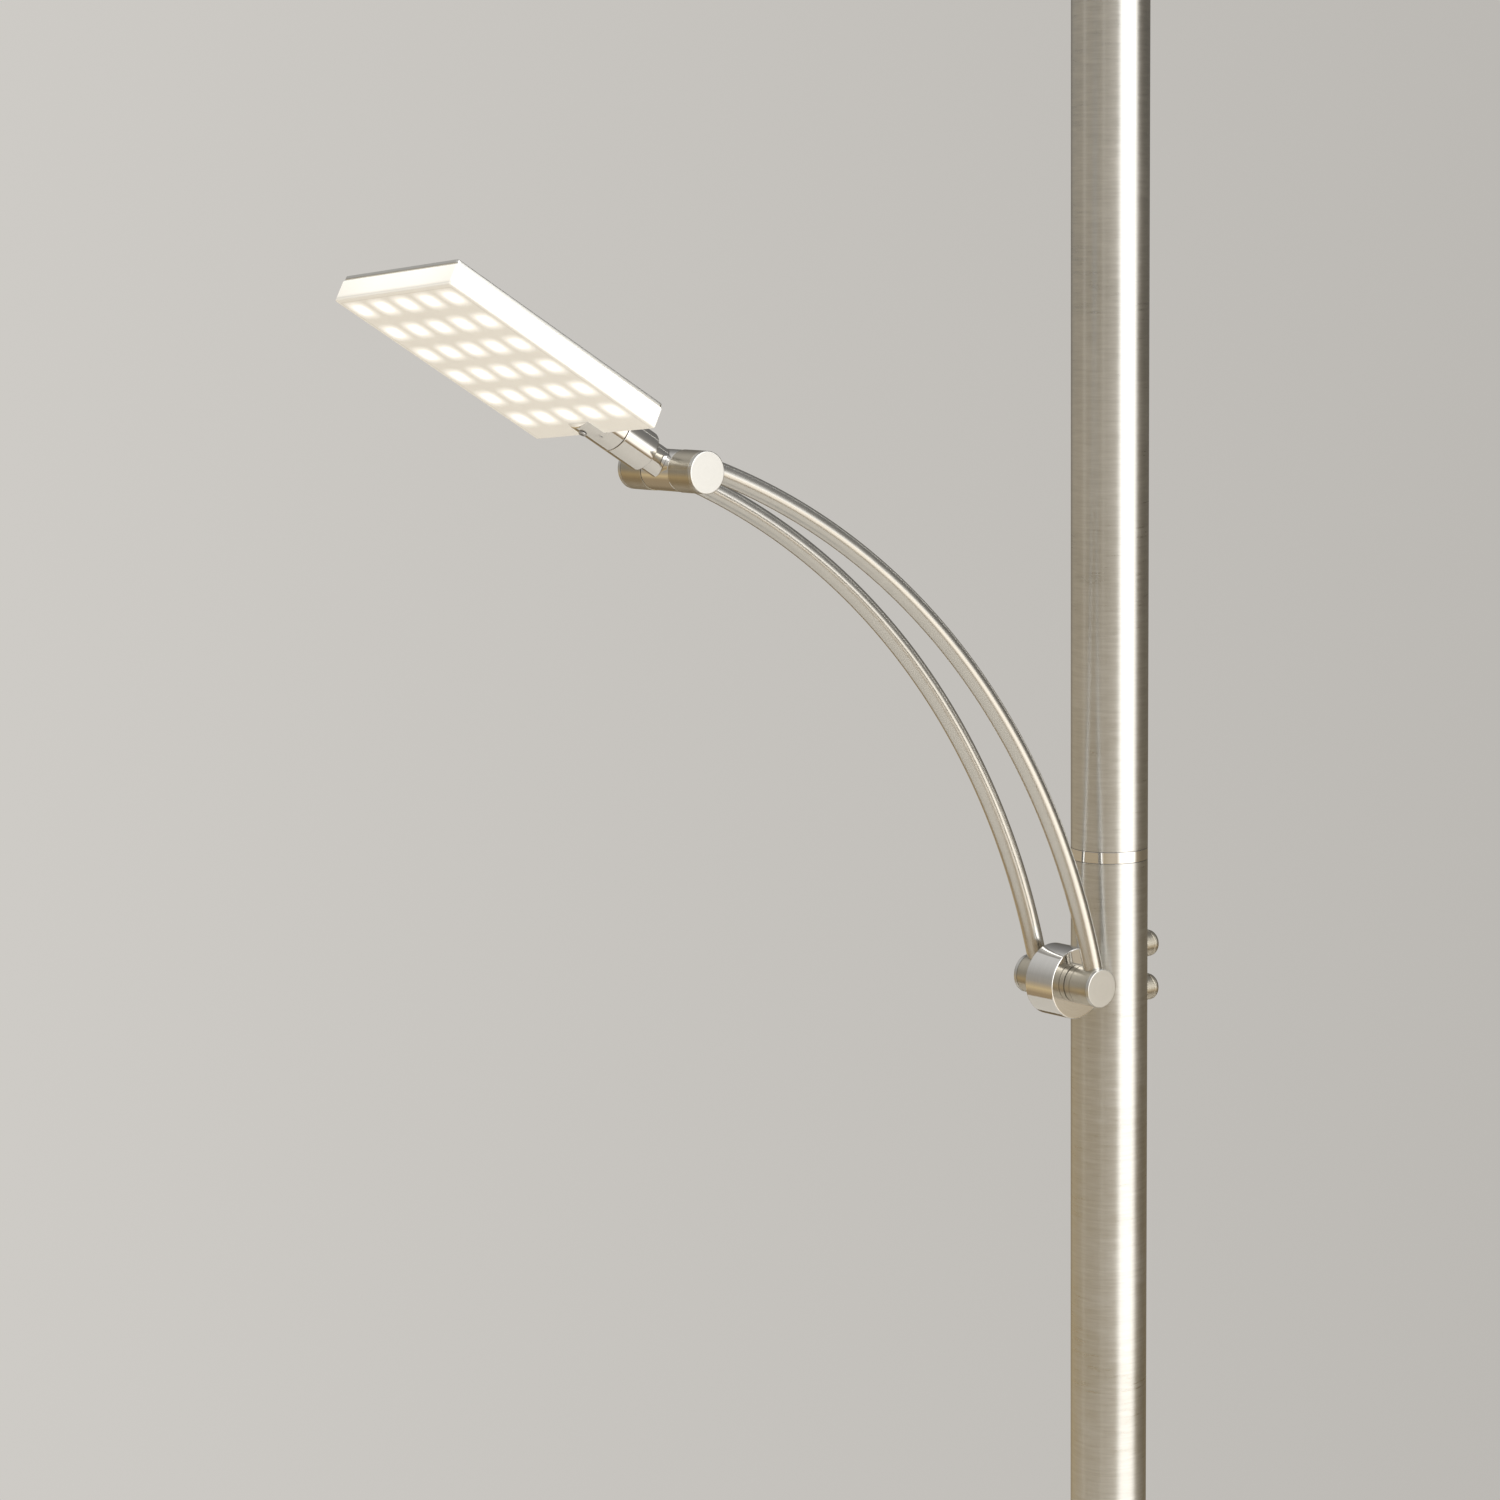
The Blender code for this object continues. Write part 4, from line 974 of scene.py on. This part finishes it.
class MakeUplighter(bpy.types.Operator):
    """Make the swept dish on the pole's top, its collar, lens and ring"""

    bl_idname = "lamp.make_uplighter"
    bl_label = "Make uplighter"

    def execute(self, context):
        edge = context.scene.lamp_sizes.edge
        bottom, top = span("dish")
        foot, hole, lens_seat, bezel = 0.030, 0.0054, 0.003, 0.1240
        lens_low, lens_high = low("uplight_lens")[2], high("uplight_lens")[2]
        rise, run = lens_low - 0.0012 - bottom[2], top[0] - foot
        # Flank: r = foot + run sin a, z = bottom + rise (1 - cos a).
        sweep = np.linspace(0, np.pi / 2, 48)
        outer = np.stack([foot + run * np.sin(sweep), bottom[2] + rise * (1 - np.cos(sweep))], axis=1)
        inner = np.stack([foot + (run - SHEET) * np.sin(sweep),
                          bottom[2] + SHEET + (rise - SHEET) * (1 - np.cos(sweep))], axis=1)
        seat = high("uplight_lens")[0] - lens_seat
        rim = outline([(top[0], lens_low), (top[0], top[2]), (top[0] - SHEET, top[2]),
                       (top[0] - SHEET, lens_low - SEAT_GAP), (seat, lens_low - SEAT_GAP)],
                      [0, edge, edge, edge * 0.5, 0])
        path = np.concatenate([[(hole, bottom[2])], outer, rim, inner[inner[:, 0] < seat][::-1],
                               [(hole, bottom[2] + SHEET)]])
        piece("dish_bowl", [turned(path, ring=True)], "brushed_nickel", "stand", "dish")
        bottom, top = span("dish_collar")
        corners = [(POLE_HOLE, bottom[2]), (0.0235, bottom[2]), (top[0], bottom[2] + 0.004), (top[0], top[2]),
                   (POLE_HOLE, top[2])]
        path = outline(corners, [edge, edge, 0.0015, edge, edge], ring=True)
        piece("dish_foot_collar", [turned(path, ring=True)], "polished_chrome", "stand", "dish_collar")
        radius = high("uplight_lens")[0]
        piece("lens_disc", [turned(outline([(0, lens_low), (radius, lens_low), (radius, lens_high),
                                            (0, lens_high)], [0, edge, edge, 0]))],
              "opal_acrylic", "stand", "uplight_lens")
        bottom, top = span("lens_ring")
        piece("lens_bezel", [pipe(top[0], bezel, bottom[2], top[2], edge)], "brushed_nickel", "stand",
              "lens_ring")
        return {"FINISHED"}


INNER = {
    "plain_steel": ("splice_low", "splice_high", "pole_foot", "pole_plug", "base_screw_1", "base_screw_2",
                    "base_screw_3", "hub_screw_lower", "hub_screw_upper", "lower_axle", "upper_axle",
                    "swivel_pin", "dish_bolt", "dish_nut"),
    "cast_weight": ("base_weight",),
    "sink_aluminium": ("heat_sink",),
    "circuit_board": ("uplight_board",),
    "white_plastic": ("dimmer_lower", "dimmer_upper", "swivel_ring", "led_driver"),
    "cable_sheath": ("arm_wire", "pole_lead"),
}


class FinishInnerParts(bpy.types.Operator):
    """Put finishes on the frame's own parts inside the lamp"""

    bl_idname = "lamp.finish_inner_parts"
    bl_label = "Finish inner parts"

    def execute(self, context):
        for finish, names in INNER.items():
            for name in names:
                part = frame["nodes"][name]
                for place in part.material_slots:
                    place.material = finished(finish, marks=False)
        return {"FINISHED"}


class MakeStudio(bpy.types.Operator):
    """Set up the floor, the soft light and the camera"""

    bl_idname = "lamp.make_studio"
    bl_label = "Make studio"

    def execute(self, context):
        scene, studio = context.scene, context.scene.lamp_studio
        scene.view_settings.view_transform = "Standard"
        radius, upper, under = studio.floor_radius, -0.0002, -0.0202
        rim = outline([(0, under), (radius, under), (radius, upper), (0, upper)], [0, 0.002, 0.002, 0])
        piece("floor_disc", [turned(rim)], "pale_floor", None)

        ahead = Vector((math.sin(CAMERA_YAW) * math.cos(CAMERA_PITCH),
                        math.cos(CAMERA_YAW) * math.cos(CAMERA_PITCH), math.sin(CAMERA_PITCH)))
        right = ahead.cross(Vector((0, 0, 1))).normalized()
        over = right.cross(ahead)
        level = Matrix((right, over, -ahead)).transposed()
        turn = level @ Matrix.Rotation(CAMERA_ROLL, 3, "Z")
        camera = bpy.data.objects.new("camera", bpy.data.cameras.new("camera"))
        camera.data.lens = studio.lens
        camera.data.sensor_width = 36.0
        camera.data.clip_end = 50.0
        camera.matrix_world = Matrix.Translation(CAMERA_PLACE) @ turn.to_4x4()
        scene.collection.objects.link(camera)
        scene.camera = camera
        self.light(scene, studio, right)
        return {"FINISHED"}

    def light(self, scene, studio, right):
        """A soft studio round the lamp, with a tall strip light, and a wall behind it in painted light and shade,
        lighter to the left and darker to the right.
        """
        world = bpy.data.worlds.new("soft_studio")
        scene.world = world
        world.use_nodes = True
        tree = world.node_tree
        tree.nodes.clear()
        where = add(tree, "ShaderNodeTexCoord").outputs["Generated"]
        height = add(tree, "ShaderNodeSeparateXYZ", {0: where}).outputs[2]
        flat = add(tree, "ShaderNodeVectorMath", {0: where, 1: (1, 1, 0)}, operation="MULTIPLY")
        flat = add(tree, "ShaderNodeVectorMath", {0: flat.outputs[0]}, operation="NORMALIZE")

        def facing(away, outer, inner):
            """1 that many degrees from the strip, falling to 0 between two angles on either side."""
            turn = studio.strip_turn + math.radians(away)
            aim = (math.cos(turn), math.sin(turn), 0)
            dot = add(tree, "ShaderNodeVectorMath", {0: flat.outputs[0], 1: aim},
                      operation="DOT_PRODUCT").outputs["Value"]
            return spread(tree, dot, math.cos(math.radians(outer)), math.cos(math.radians(inner)), 0.0, 1.0,
                          smooth=True)

        ramp = add(tree, "ShaderNodeValToRGB", {0: spread(tree, height, -1.0, 1.0, 0.0, 1.0)})
        while len(ramp.color_ramp.elements) < len(ROOM):
            ramp.color_ramp.elements.new(0.5)
        for stop, (place, colour) in zip(ramp.color_ramp.elements, ROOM):
            stop.position = place
            stop.color = (*colour, 1.0)

        # The lights stand upright: full above the eye, weaker below it, gone near the floor and overhead.
        window = times(tree, spread(tree, height, -0.24, -0.08, 0.42, 1.0, smooth=True),
                       spread(tree, height, -0.60, -0.42, 0.0, 1.0, smooth=True))
        window = times(tree, window, spread(tree, height, 0.75, 0.90, 1.0, 0.0, smooth=True))
        total = times(tree, facing(0, 35, 15), studio.strip)
        total = plus(tree, total, times(tree, facing(-18, 62, 8), 0.24))
        for away, brightness in NARROW_LIGHTS:
            total = plus(tree, total, times(tree, facing(away, 4.0, 1.5), brightness))
        total = times(tree, total, window)
        dim = less(tree, 1.0, times(tree, facing(94, 75, 30), 0.60))
        lit = add(tree, "ShaderNodeVectorMath", {0: (1.0, 1.0, 0.985), "Scale": total}, operation="SCALE")
        room = add(tree, "ShaderNodeVectorMath", {0: ramp.outputs[0], "Scale": dim}, operation="SCALE")
        room = add(tree, "ShaderNodeVectorMath", {0: room.outputs[0], 1: lit.outputs[0]}, operation="ADD")

        # The wall seen behind the lamp is painted light and shade, blended from lighter at the left to darker at the
        # right.
        sideways = add(tree, "ShaderNodeVectorMath", {0: where, 1: tuple(right)}, operation="DOT_PRODUCT")
        wall = blend(tree, spread(tree, sideways.outputs["Value"], -0.2, 0.2, 0.0, 1.0),
                     shaded(studio.wall_left, 1.0), shaded(studio.wall_right, 1.0))
        overhead = bpy.data.objects.new("overhead", bpy.data.lights.new("overhead", "AREA"))
        overhead.data.shape = "DISK"
        overhead.data.size = 2.4
        overhead.data.energy = 24.0
        overhead.location = (-0.5, -0.8, 3.4)
        overhead.rotation_euler = (math.radians(-13), math.radians(-8), 0)
        overhead.visible_glossy = False
        overhead.visible_camera = False
        scene.collection.objects.link(overhead)

        camera_ray = add(tree, "ShaderNodeLightPath").outputs["Is Camera Ray"]
        seen = add(tree, "ShaderNodeBackground", {0: wall})
        around = add(tree, "ShaderNodeBackground", {0: room.outputs[0]})
        mixed = add(tree, "ShaderNodeMixShader", {0: camera_ray, 1: around.outputs[0], 2: seen.outputs[0]})
        add(tree, "ShaderNodeOutputWorld", {0: mixed.outputs[0]})


class LampPanel(bpy.types.Panel):
    """The lamp's settings and the steps that make it."""

    bl_idname = "VIEW3D_PT_floor_lamp"
    bl_label = "Floor Lamp"
    bl_space_type = "VIEW_3D"
    bl_region_type = "UI"
    bl_category = "Floor Lamp"

    def draw(self, context):
        for group in (context.scene.lamp_sizes, context.scene.lamp_colours, context.scene.lamp_studio):
            box = self.layout.box()
            for key in group.__annotations__:
                box.prop(group, key)
        for step in STEPS:
            self.layout.operator(step.bl_idname)


STEPS = (MakeStudio, MakePole, MakeBase, MakeHub, MakeCrossbars, MakeRods, MakeHeadJoint, MakePanel,
         MakeKnobs, MakeUplighter, FinishInnerParts)
CLASSES = (LampSizes, LampColours, LampStudio, *STEPS, LampPanel)


def register():
    """Add the lamp's classes and settings."""
    for kind in CLASSES:
        bpy.utils.register_class(kind)
    bpy.types.Scene.lamp_sizes = PointerProperty(type=LampSizes)
    bpy.types.Scene.lamp_colours = PointerProperty(type=LampColours)
    bpy.types.Scene.lamp_studio = PointerProperty(type=LampStudio)


def unregister():
    """Take them away again."""
    del bpy.types.Scene.lamp_studio
    del bpy.types.Scene.lamp_colours
    del bpy.types.Scene.lamp_sizes
    for kind in reversed(CLASSES):
        bpy.utils.unregister_class(kind)


def main():
    """Register the classes, make the lamp and write both boxes."""
    register()
    for step in STEPS:
        group, name = step.bl_idname.split(".")
        getattr(getattr(bpy.ops, group), name)()
    boxes = {"cad": [list(corner) for corner in cad_box], "visual": [list(corner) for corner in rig.bounds()]}
    with open("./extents.json", "w") as file:
        json.dump(boxes, file)


if __name__ == "__main__":
    main()
